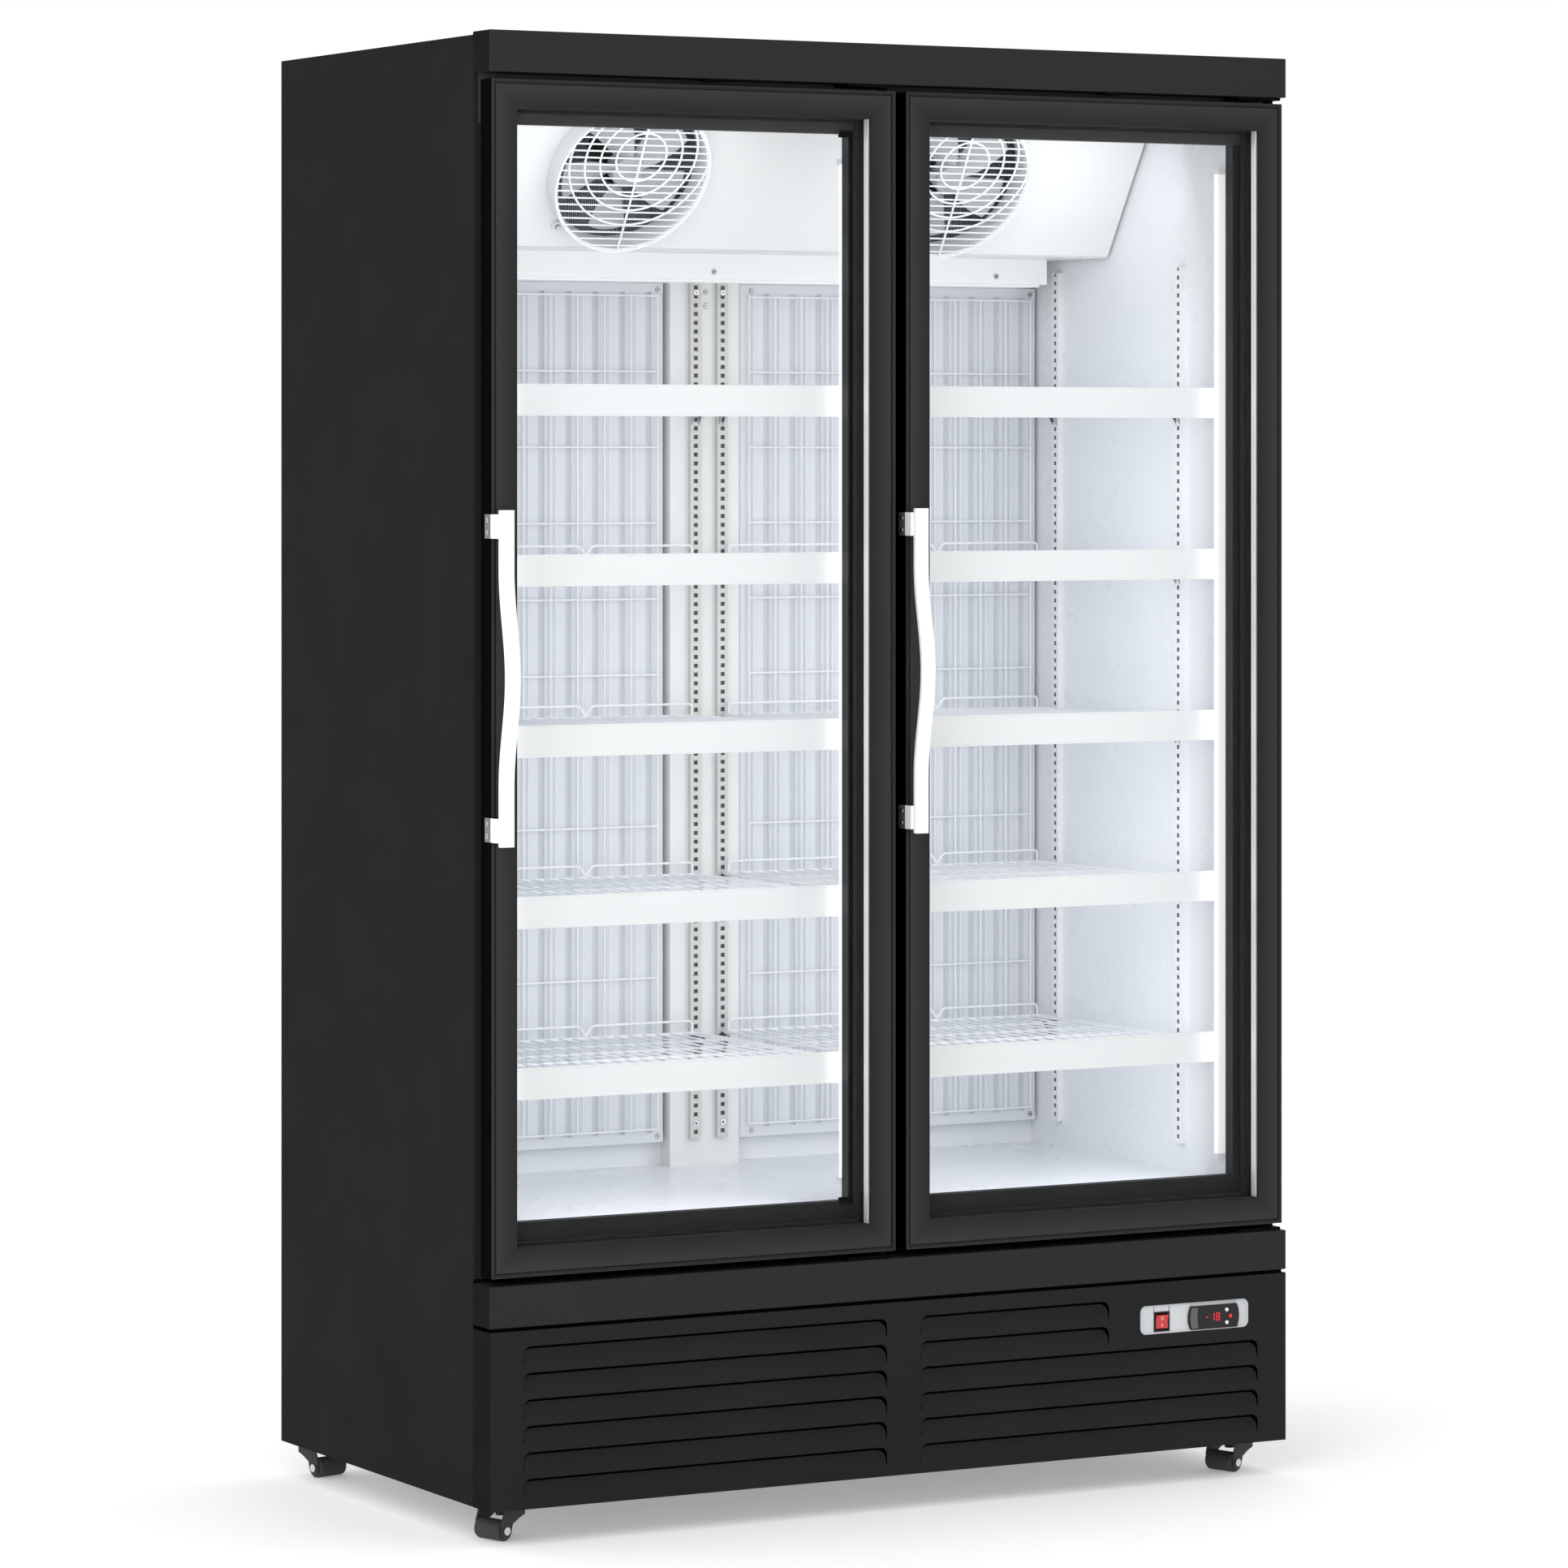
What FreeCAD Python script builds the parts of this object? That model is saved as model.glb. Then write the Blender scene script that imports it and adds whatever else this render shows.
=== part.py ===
"""Two-door upright glass door merchandiser, built from separate sheet, wire, glass and moulded pieces.

Cabinet coordinates are used while building: s runs from the cabinet's left side to its right, t from the
front plane of the canopy back into the cabinet, and h up from the cabinet's bottom edge. The frame of the
part has +Z up, the front towards -Y, and its origin under the middle of the whole object, on the floor.
"""
import FreeCAD, Part
import math
import os

Vec = FreeCAD.Vector

# --- driving dimensions, mm ---
WIDTH = 1250.0
BODY_DEPTH = 673.0
HANDLE_REACH = 40.0
CASTER_HEIGHT = 48.0
CASING_TOP = 1947.0
CANOPY_TOP = 1951.0
SKIN = 1.2
FRONT_DEPTH = 51.0
GAP = 0.3

CANOPY_LOW = 1896.0
RAIL_LOW = 241.0
RAIL_HIGH = 296.0
GRILLE_TOP = 236.0
DECK = 301.0

BEND_R = 3.0
BASE_HIGH = 25.0
BASE_SHEET = 2.0
LOUVRE_TOPS = [215.0 - 35.0 * i for i in range(6)]
LOUVRE_LEFT = (50.0, 601.0)
LOUVRE_RIGHT = (654.0, 1202.0)
LOUVRE_SHORT_END = 956.0
LOUVRE_SLOT = 6.0
VENT_S = (120.0, 475.0, 830.0)
VENT_LONG = 300.0
VENT_HIGH = 8.0
VENT_LOWS = [60.0 + 30.0 * i for i in range(7)]
GLAND_S = 1130.0
GLAND_H = 45.0
GLAND_R = 8.0

CONTROL_S = (1007.0, 1186.0)
CONTROL_H = (164.0, 204.0)
CONTROL_R = 9.0
CONTROL_T = 5.0
CONTROL_SHEET = 1.2
CONTROL_RIM = 0.8
ROCKER_S = (1032.0, 1058.0)
ROCKER_H = (166.0, 194.0)
ROCKER_PIVOT_T = 9.0
ROCKER_WINDOW = 11.3
ROCKER_HALF = 9.6
ROCKER_FACE = 5.4
ROCKER_WALL = 3.0
ROCKER_SWING = 12.0
THERMO_S = (1088.0, 1172.0)
THERMO_H = (165.0, 198.0)
THERMO_FRONT = 0.6
THERMO_BULGE = 4.0
BUTTONS = {"button_up": (1150.5, 190.3), "button_set": (1156.5, 181.3), "button_down": (1150.5, 172.5)}
BUTTON_R = 2.6
BUTTON_FRONT = -0.4
BUTTON_BACK = 3.0
BUTTON_TRAVEL = 0.8

DOOR_LOW = 306.0
DOOR_HIGH = 1887.0
DOOR_FRONT = 3.5
DOOR_BACK = 38.0
SASH_BACK = 47.0
DOORS = {"left": (5.0, 616.5), "right": (633.5, 1245.0)}
FRAME_FACE = 38.5
GROOVE_IN = 5.0
GROOVE_DEPTH = 1.5
SASH_INSET = 4.0
SEAL_INSET = 14.0
SEAL_FACE = 16.0
GLASS_T = (9.0, 29.0)
GLASS_SLOT = 30.0
GLASS_INSET = 32.0
PANE = 4.0
SPACER_FACE = 6.5
HINGE_INSET = 12.0
HINGE_T = 22.0
HINGE_PLATE = 4.0
HINGE_REACH = 60.0
HINGE_END = 12.0
HINGE_DEPTH = (8.0, 46.0)
PIN_R = 4.0
PIN_COLLAR = 3.0
PIN_CLEARANCE = 0.05
PIN_DEPTH = 15.0
STAY_SHIFT = 28.0
STAY_HALF = 14.0
STAY_DEPTH = (6.0, 30.0)
STAY_THICK = 3.0

HANDLE_MID = 1097.0
HANDLE_HALF = 221.5
HANDLE_STRAIGHT = 78.0
HANDLE_S = (0.5, 21.5)
HANDLE_THICK = 8.0
HANDLE_BOW = 19.0
BRACKET_MID = 200.0
BRACKET_HIGH = 32.0
BRACKET_SHEET = 2.5
BRACKET_FRONT = -13.0
BRACKET_BACK = 21.0
BRACKET_FOOT = 20.0
SCREW_T = 12.0
SCREW_OFFSET = 8.0
SCREW_R = 3.2
SCREW_HIGH = 1.4

LINER_SIDE = 57.0
LINER_BACK = 606.0
LINER_FLOOR = 365.0
LINER_CEILING = 1898.0
FACE_BACK = 70.0
OPENING_LOW = 372.0
OPENING_HIGH = 1830.0
MULLION = (569.0, 681.0)

SHELF_STEP = 228.6
SHELF_TOPS = [1486.5 - SHELF_STEP * i for i in range(5)]
STRIP_HEIGHT = 43.0
STRIP_T = (90.0, 93.5)
SHELF_DROP = 12.0
SHELF_THICK = 6.0
SHELF_T = (94.0, 560.0)
SHELF_SPAN = {"left": (67.0, 603.0), "right": (647.0, 1183.0)}
STRIP_SPAN = {"left": (61.0, 597.0), "right": (653.0, 1189.0)}
STANDARD_WIDTH = 17.0
STANDARD_DEPTH = 8.0
STANDARD_LOW = 404.0
STANDARD_HIGH = 1640.0
WALL_STANDARD_HIGH = 1661.0
CLIP_DROP = 34.0
CLIP_SHEET = 2.0
WALL_STANDARD_T = (183.0, 523.0)
COLUMN_STANDARD_S = (606.0, 650.0)
COLUMN_T = 575.0
COLUMN_TOP = 1641.0

DUCTS = ((62.0, 562.0), (687.0, 1188.0))
DUCT_T = 585.0
DUCT_LOW = 400.0
GUARD_T = (578.0, 581.0)
GUARD_H = (418.0, 1622.0)
GUARD_WIRE = 3.0
GUARD_CELLS = 11

SLOPE_TOP = (242.6, 1897.8)
SLOPE_LOW = (380.0, 1681.0)
COVER_S = (62.0, 1188.0)
COVER_BACK = 552.0
COVER_LOW = 1683.0
FAN_S = (359.0, 877.0)
FAN_HOLE_R = 110.0
FAN_R = 98.0
HUB_R = 24.0
FAN_DEPTH = 26.0
BLADES = 5
BLADE_TWIST = 24.0
HOUSING_R = 116.0
FLARE_R = 118.0
FLARE_OUT = 16.0
HOUSING_OUT = 30.0
FINGER_BAR = 2.5
FINGER_THICK = 3.0
FINGER_RINGS = (37.0, 60.0, 82.0, 104.0)
COIL_S = (150.0, 1095.0)
COIL_T = (425.0, 545.0)
COIL_H = (1700.0, 1860.0)
TRAY_S = (93.0, 1157.0)
TRAY_T = (500.0, 605.0)
TRAY_H = (1643.0, 1680.0)
TRAY_WALL = 1.2
PAN_S = (520.0, 840.0)
PAN_T = (330.0, 610.0)
PAN_H = (2.0, 48.0)
PAN_WALL = 2.0
LAMP_WIDE = 12.0
LAMP_BACK = 86.0
LAMP_LOW = 393.0
LAMP_HIGH = 1797.0
LAMP_CLIP = 8.0

FLOOR_T = 2.0
COMPRESSOR = (960.0, 420.0)
COMPRESSOR_R = 78.0
CONDENSER_S = 300.0
CONDENSER_T = 90.0
CONDENSER_H = 130.0
CONDENSER_HALF = 150.0
CONDENSER_TOP = 262.0
CONDENSER_DEPTH = 60.0
SHROUD_DEPTH = 48.0
CONDENSER_FAN_R = 92.0

SWIVEL_S = (50.0, 1200.0)
SWIVEL_T = (70.0, 645.0)
TRAIL = 14.0
ROLLER_R = 14.0
ROLLER_LENGTH = 46.0
EAR_THICK = 2.5
CASTER_PLATE = 50.0
AXLE_R = 3.0
BOLT_R = 2.95
BOLT_HEAD_R = 4.8
BOLT_HEAD = 2.2
CASTER_TURNS = {"front_left": 197.0, "front_right": 197.0, "rear_left": 285.0, "rear_right": 262.0}

shapes = {}


def point(s, t, h):
    """A cabinet position in the frame of the part."""
    front = -(BODY_DEPTH - HANDLE_REACH) / 2
    return Vec(s - WIDTH / 2, t + front, h + CASTER_HEIGHT)


def block(s, t, h):
    """A box from three (low, high) pairs."""
    size = [pair[1] - pair[0] for pair in (s, t, h)]
    return Part.makeBox(size[0], size[1], size[2], point(s[0], t[0], h[0]))


def rod(start, end, radius):
    """A round bar between two cabinet positions."""
    low = point(*start)
    way = point(*end) - low
    return Part.makeCylinder(radius, way.Length, low, way)


def prism(outline, s_low, s_high):
    """A profile of (t, h) points, extruded along s."""
    corners = [point(s_low, t, h) for t, h in outline]
    face = Part.Face(Part.makePolygon(corners + corners[:1]))
    return face.extrude(Vec(s_high - s_low, 0, 0))


def grid(low, high, depth, axis, holes):
    """A flat plate with rectangular holes; axis 'h' lies flat, axis 't' stands up."""
    def corner(a, b):
        return point(a, b, depth[0]) if axis == "h" else point(a, depth[0], b)

    def loop(a0, b0, a1, b1):
        corners = [corner(a0, b0), corner(a1, b0), corner(a1, b1), corner(a0, b1)]
        return Part.makePolygon(corners + corners[:1])

    way = Vec(0, 0, 1) if axis == "h" else Vec(0, 1, 0)
    wires = [loop(low[0], low[1], high[0], high[1])] + [loop(*hole) for hole in holes]
    face = Part.makeFace(wires, "Part::FaceMakerBullseye")
    return face.extrude(way * (depth[1] - depth[0]))


def group(solids):
    """Several separate solids kept in one node."""
    return Part.makeCompound(solids)


def ring_of_bars(s, t, h, bar):
    """Four bars round a rectangular opening, as four separate solids."""
    left = block((s[0], s[0] + bar), t, h)
    right = block((s[1] - bar, s[1]), t, h)
    low = block((s[0] + bar, s[1] - bar), t, (h[0], h[0] + bar))
    high = block((s[0] + bar, s[1] - bar), t, (h[1] - bar, h[1]))
    return [left, right, low, high]


def mirrored_s(s):
    """The same span on the other side of the cabinet."""
    return (WIDTH - s[1], WIDTH - s[0])


# --- casing ---

def make_casing():
    back_inner = BODY_DEPTH - SKIN
    side = ((FRONT_DEPTH, BODY_DEPTH), (0, CASING_TOP))
    shapes["side_panels"] = group([block((0, SKIN), *side), block((WIDTH - SKIN, WIDTH), *side)])
    inside = (SKIN, WIDTH - SKIN)
    shapes["top_panel"] = block(inside, (FRONT_DEPTH, back_inner), (CASING_TOP - SKIN, CASING_TOP))
    shapes["rear_panel"] = block(inside, (back_inner, BODY_DEPTH), (DECK, CASING_TOP))

    tray = block(inside, (FRONT_DEPTH + 2, back_inner), (0, BASE_HIGH))
    wall = BASE_SHEET
    tray_hollow = block(
        (SKIN + wall, WIDTH - SKIN - wall),
        (FRONT_DEPTH + 2 + wall, back_inner - wall),
        (wall, BASE_HIGH + 1),
    )
    shapes["base_frame"] = tray.cut(tray_hollow)

    slots = []
    for low in VENT_LOWS:
        slots += [(s, low, s + VENT_LONG, low + VENT_HIGH) for s in VENT_S]
    plate = grid((SKIN, BASE_HIGH + 1), (WIDTH - SKIN, DECK - 1), (back_inner, BODY_DEPTH), "t", slots)
    gland_hole = rod((GLAND_S, back_inner - 1, GLAND_H), (GLAND_S, BODY_DEPTH + 1, GLAND_H), GLAND_R + 0.2)
    shapes["rear_grille"] = plate.cut(gland_hole)


def make_insulation():
    foam_top = CASING_TOP - SKIN
    foam_back = BODY_DEPTH - SKIN
    side = (SKIN, LINER_SIDE - 1)
    middle = (LINER_SIDE - 1, WIDTH - LINER_SIDE + 1)
    depth = (FACE_BACK, LINER_BACK + 1)
    shapes["foam_insulation"] = group([
        block(side, (FACE_BACK, foam_back), (DECK, foam_top)),
        block(mirrored_s(side), (FACE_BACK, foam_back), (DECK, foam_top)),
        block(middle, (LINER_BACK + 1, foam_back), (DECK, foam_top)),
        block(middle, depth, (LINER_CEILING + 1, foam_top)),
        block(middle, depth, (DECK, LINER_FLOOR - 1)),
    ])


def make_liner():
    depth = (FACE_BACK, LINER_BACK)
    wall = (LINER_SIDE - 1, LINER_SIDE)
    height = (LINER_FLOOR - 1, LINER_CEILING + 1)
    inside = (LINER_SIDE, WIDTH - LINER_SIDE)
    shapes["inner_liner"] = group([
        block(wall, depth, height),
        block(mirrored_s(wall), depth, height),
        block((LINER_SIDE - 1, WIDTH - LINER_SIDE + 1), (LINER_BACK, LINER_BACK + 1), height),
        block(inside, depth, (LINER_CEILING, LINER_CEILING + 1)),
        block(inside, depth, (LINER_FLOOR - 1, LINER_FLOOR)),
    ])


def make_front():
    depth = (FRONT_DEPTH, FACE_BACK)
    top = CASING_TOP - SKIN
    jamb = (SKIN, LINER_SIDE)
    shapes["face_frame"] = group([
        block(jamb, depth, (OPENING_LOW, OPENING_HIGH)),
        block(mirrored_s(jamb), depth, (OPENING_LOW, OPENING_HIGH)),
        block((SKIN, WIDTH - SKIN), depth, (OPENING_HIGH, top)),
        block((SKIN, WIDTH - SKIN), depth, (DECK, OPENING_LOW)),
    ])
    shapes["centre_mullion"] = block(MULLION, depth, (OPENING_LOW, OPENING_HIGH))
    shapes["canopy"] = channel(CANOPY_LOW, CANOPY_TOP)
    shapes["lower_rail"] = channel(RAIL_LOW, RAIL_HIGH)


def channel(low, high):
    """A folded sheet channel across the whole front, open at its back."""
    body = block((0, WIDTH), (0, FRONT_DEPTH), (low, high))
    uprights = [e for e in body.Edges if abs(e.Vertexes[0].Z - e.Vertexes[1].Z) > 1]
    front_y = point(0, 0, 0).y
    uprights = [e for e in uprights if abs(e.Vertexes[0].Y - front_y) < 0.01]
    body = body.makeFillet(BEND_R, uprights)
    hollow = block((SKIN, WIDTH - SKIN), (SKIN, FRONT_DEPTH + 1), (low + SKIN, high - SKIN))
    inner = [e for e in hollow.Edges if abs(e.Vertexes[0].Z - e.Vertexes[1].Z) > 1]
    inner = [e for e in inner if abs(e.Vertexes[0].Y - front_y - SKIN) < 0.01]
    return body.cut(hollow.makeFillet(BEND_R - SKIN, inner))


def make_front_grille():
    """The louvred front panel with its side returns."""
    outer = block((0, WIDTH), (0, FRONT_DEPTH), (0, GRILLE_TOP))
    inner = block((SKIN, WIDTH - SKIN), (SKIN, FRONT_DEPTH + 1), (-1, GRILLE_TOP + 1))
    panel = outer.cut(inner)
    cuts = []
    for row, top in enumerate(LOUVRE_TOPS):
        right_end = LOUVRE_SHORT_END if row < 2 else LOUVRE_RIGHT[1]
        for low, high in (LOUVRE_LEFT, (LOUVRE_RIGHT[0], right_end)):
            cuts.append(block((low, high), (-1, SKIN + 1), (top - LOUVRE_SLOT, top)))
    window = block(CONTROL_S, (-1, SKIN + 1), CONTROL_H)
    cuts.append(round_along_t(window, CONTROL_R))
    shapes["front_grille"] = panel.cut(cuts)


def round_along_t(body, radius):
    """Rounds the four edges of a box that run front to back."""
    edges = [e for e in body.Edges if abs(e.Vertexes[0].Y - e.Vertexes[1].Y) > 0.5]
    return body.makeFillet(radius, edges)


def make_controls():
    rim = CONTROL_RIM
    tray = block(
        (CONTROL_S[0] - rim, CONTROL_S[1] + rim),
        (SKIN + 0.1, CONTROL_T + CONTROL_SHEET),
        (CONTROL_H[0] - rim, CONTROL_H[1] + rim),
    )
    tray = round_along_t(tray, CONTROL_R + rim)
    hollow = round_along_t(block(CONTROL_S, (0, CONTROL_T), CONTROL_H), CONTROL_R)
    switch_hole = block(
        (ROCKER_S[0] + 1.5, ROCKER_S[1] - 1.5), (0, 20), (ROCKER_H[0] + 1.2, ROCKER_H[1] - 1.2)
    )
    thermo_hole = block((THERMO_S[0] + 6, THERMO_S[1] - 6), (0, 20), (THERMO_H[0] + 2, THERMO_H[1] - 2))
    shapes["control_plate"] = tray.cut([hollow, switch_hole, thermo_hole])

    mid_h = sum(ROCKER_H) / 2
    opening = (ROCKER_S[0] + ROCKER_WALL, ROCKER_S[1] - ROCKER_WALL)
    window_h = (mid_h - ROCKER_WINDOW, mid_h + ROCKER_WINDOW)
    window = block(opening, (0, 30), window_h)
    flange = block(ROCKER_S, (3.5, CONTROL_T), ROCKER_H)
    sleeve = block(
        (ROCKER_S[0] + 1.6, ROCKER_S[1] - 1.6),
        (CONTROL_T, 30),
        (ROCKER_H[0] + 1.3, ROCKER_H[1] - 1.3),
    )
    back = block(opening, (22, 30), window_h)
    shapes["rocker_bezel"] = flange.fuse(sleeve).cut(window).fuse(back).removeSplitter()

    half = ROCKER_HALF
    tilt = 2 * half * math.tan(math.radians(ROCKER_SWING) / 2)
    front = ROCKER_PIVOT_T - ROCKER_FACE
    outline = [
        (front, mid_h - half), (front, mid_h), (front - tilt, mid_h + half),
        (ROCKER_PIVOT_T, mid_h + 8), (ROCKER_PIVOT_T + 6, mid_h + 3),
        (ROCKER_PIVOT_T + 6, mid_h - 3), (ROCKER_PIVOT_T, mid_h - 8),
    ]
    shapes["power_rocker"] = prism(outline, ROCKER_S[0] + ROCKER_WALL + GAP, ROCKER_S[1] - ROCKER_WALL - GAP)


def make_thermostat():
    """A barrel-ended controller: face, body behind the plate, and its front window."""
    mid_h = sum(THERMO_H) / 2
    half = (THERMO_H[1] - THERMO_H[0]) / 2
    low, high = THERMO_S[0] + THERMO_BULGE, THERMO_S[1] - THERMO_BULGE
    face_t = (THERMO_FRONT, CONTROL_T)

    def at(s, h):
        return point(s, face_t[0], h)

    edges = [
        Part.LineSegment(at(low, mid_h - half), at(high, mid_h - half)).toShape(),
        Part.Arc(at(high, mid_h - half), at(THERMO_S[1], mid_h), at(high, mid_h + half)).toShape(),
        Part.LineSegment(at(high, mid_h + half), at(low, mid_h + half)).toShape(),
        Part.Arc(at(low, mid_h + half), at(THERMO_S[0], mid_h), at(low, mid_h - half)).toShape(),
    ]
    face = Part.Face(Part.Wire(edges)).extrude(Vec(0, face_t[1] - face_t[0], 0))
    body = block(
        (THERMO_S[0] + 6.2, THERMO_S[1] - 6.2), (CONTROL_T, 60), (THERMO_H[0] + 2.2, THERMO_H[1] - 2.2)
    )
    holes = []
    for s, h in BUTTONS.values():
        holes.append(rod((s, 0, h), (s, BUTTON_BACK + BUTTON_TRAVEL + 0.6, h), BUTTON_R + GAP))
    shapes["thermostat"] = face.fuse(body).cut(holes).removeSplitter()
    for name, (s, h) in BUTTONS.items():
        shapes[name] = rod((s, BUTTON_FRONT, h), (s, BUTTON_BACK, h), BUTTON_R)


# --- doors ---

def make_door(side):
    left, right = DOORS[side]
    span = (left, right)
    height = (DOOR_LOW, DOOR_HIGH)
    pivot = right - HINGE_INSET

    frame = ring_of_bars(span, (DOOR_FRONT, DOOR_BACK), height, FRAME_FACE)
    groove = ring_of_bars(
        (left + GROOVE_IN, right - GROOVE_IN), (DOOR_FRONT - 1, DOOR_FRONT + GROOVE_DEPTH),
        (DOOR_LOW + GROOVE_IN, DOOR_HIGH - GROOVE_IN), FRAME_FACE - GROOVE_IN + 1,
    )
    glass_slot = block(
        (left + GLASS_SLOT, right - GLASS_SLOT), (GLASS_T[0] - GAP, GLASS_T[1] + GAP),
        (DOOR_LOW + GLASS_SLOT, DOOR_HIGH - GLASS_SLOT),
    )
    bores = []
    for low, high in ((DOOR_LOW - 1, DOOR_LOW + PIN_DEPTH + 2), (DOOR_HIGH - PIN_DEPTH - 2, DOOR_HIGH + 1)):
        bores.append(rod((pivot, HINGE_T, low), (pivot, HINGE_T, high), PIN_R + PIN_CLEARANCE))
    shapes[side + "_door_frame"] = group([bar.cut(groove + [glass_slot] + bores) for bar in frame])

    sash = ring_of_bars(
        (left + SASH_INSET, right - SASH_INSET), (DOOR_BACK, SASH_BACK),
        (DOOR_LOW + SASH_INSET, DOOR_HIGH - SASH_INSET), FRAME_FACE,
    )
    shapes[side + "_door_sash"] = group(sash)
    seal = ring_of_bars(
        (left + SEAL_INSET, right - SEAL_INSET), (SASH_BACK, FRONT_DEPTH - GAP),
        (DOOR_LOW + SEAL_INSET, DOOR_HIGH - SEAL_INSET), SEAL_FACE,
    )
    shapes[side + "_door_gasket"] = group(seal)

    wide = (left + GLASS_INSET, right - GLASS_INSET)
    high = (DOOR_LOW + GLASS_INSET, DOOR_HIGH - GLASS_INSET)
    outer = block(wide, (GLASS_T[0], GLASS_T[0] + PANE), high)
    inner = block(wide, (GLASS_T[1] - PANE, GLASS_T[1]), high)
    spacer = ring_of_bars(wide, (GLASS_T[0] + PANE, GLASS_T[1] - PANE), high, SPACER_FACE)
    shapes[side + "_door_glazing"] = group([outer, inner] + spacer)


def make_handle(side):
    """A flat bar bowed forwards, on two folded brackets screwed to the door's edge."""
    left = DOORS[side][0]
    turn = HANDLE_HALF - HANDLE_STRAIGHT
    steps = 12

    def curve(offset):
        points = []
        for i in range(steps + 1):
            away = -turn + 2 * turn * i / steps
            bow = HANDLE_BOW * (1 + math.cos(math.pi * away / turn)) / 2
            points.append(point(left + HANDLE_S[0], BRACKET_FRONT - offset - bow, HANDLE_MID + away))
        line = Part.BSplineCurve()
        line.interpolate(points)
        return line.toShape(), points[0], points[-1]

    def end(offset, sign):
        return point(left + HANDLE_S[0], BRACKET_FRONT - offset, HANDLE_MID + sign * HANDLE_HALF)

    near, near_low, near_high = curve(0)
    far, far_low, far_high = curve(HANDLE_THICK)
    corners = [near_low, end(0, -1), end(HANDLE_THICK, -1), far_low]
    lower = Part.makePolygon(corners)
    corners = [far_high, end(HANDLE_THICK, 1), end(0, 1), near_high]
    upper = Part.makePolygon(corners)
    wire = Part.Wire(Part.__sortEdges__(lower.Edges + [far] + upper.Edges + [near]))
    bar = Part.Face(wire).extrude(Vec(HANDLE_S[1] - HANDLE_S[0], 0, 0))
    shapes[side + "_door_handle"] = bar

    pieces = []
    for sign in (-1, 1):
        mid = HANDLE_MID + sign * BRACKET_MID
        height = (mid - BRACKET_HIGH / 2, mid + BRACKET_HIGH / 2)
        leg = block((left - BRACKET_SHEET, left), (BRACKET_FRONT, BRACKET_BACK), height)
        foot = block((left, left + BRACKET_FOOT), (BRACKET_FRONT, BRACKET_FRONT + BRACKET_SHEET), height)
        pieces.append(leg.fuse(foot).removeSplitter())
        for screw_h in (mid - SCREW_OFFSET, mid + SCREW_OFFSET):
            start = (left - BRACKET_SHEET, SCREW_T, screw_h)
            pieces.append(rod(start, (left - BRACKET_SHEET - SCREW_HIGH, SCREW_T, screw_h), SCREW_R))
    shapes[side + "_handle_brackets"] = group(pieces)


def make_hinges():
    """Hinge plates with their pins, and the door stays under the canopy."""
    pieces = []
    for left, right in DOORS.values():
        pivot = right - HINGE_INSET
        span = (pivot - HINGE_REACH, min(pivot + HINGE_END, WIDTH - 3))
        for sign, ledge in ((1, RAIL_HIGH), (-1, CANOPY_LOW)):
            plate_h = sorted((ledge, ledge + sign * HINGE_PLATE))
            door_edge = DOOR_LOW if sign > 0 else DOOR_HIGH
            plate = block(span, HINGE_DEPTH, plate_h)
            root = (pivot, HINGE_T, ledge + sign * (HINGE_PLATE - 1))
            tip = (pivot, HINGE_T, door_edge + sign * PIN_DEPTH)
            collar_end = (pivot, HINGE_T, door_edge - sign * 1.0)
            plate = plate.fuse([rod(root, tip, PIN_R), rod(root, collar_end, PIN_R + PIN_COLLAR)])
            pieces.append(plate.removeSplitter())
        stay = (left + right) / 2 + STAY_SHIFT
        span = (stay - STAY_HALF, stay + STAY_HALF)
        pieces.append(block(span, STAY_DEPTH, (CANOPY_LOW - STAY_THICK, CANOPY_LOW)))
    shapes["hinge_plates"] = group(pieces)


# --- cabinet interior ---

def channel_strip(s, t, facing):
    """One shelf standard: a shallow channel that opens towards its wall."""
    low = STANDARD_LOW
    high = WALL_STANDARD_HIGH if facing.startswith("s") else STANDARD_HIGH
    body = block(s, t, (low, high))
    wall = 1.5
    if facing == "s_plus":
        hollow = block((s[0] - 1, s[1] - wall), (t[0] + wall, t[1] - wall), (low - 1, high + 1))
    elif facing == "s_minus":
        hollow = block((s[0] + wall, s[1] + 1), (t[0] + wall, t[1] - wall), (low - 1, high + 1))
    elif facing == "t_minus":
        hollow = block((s[0] + wall, s[1] - wall), (t[0] + wall, t[1] + 1), (low - 1, high + 1))
    else:
        hollow = block((s[0] + wall, s[1] - wall), (t[0] - 1, t[1] - wall), (low - 1, high + 1))
    return body.cut(hollow)


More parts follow.
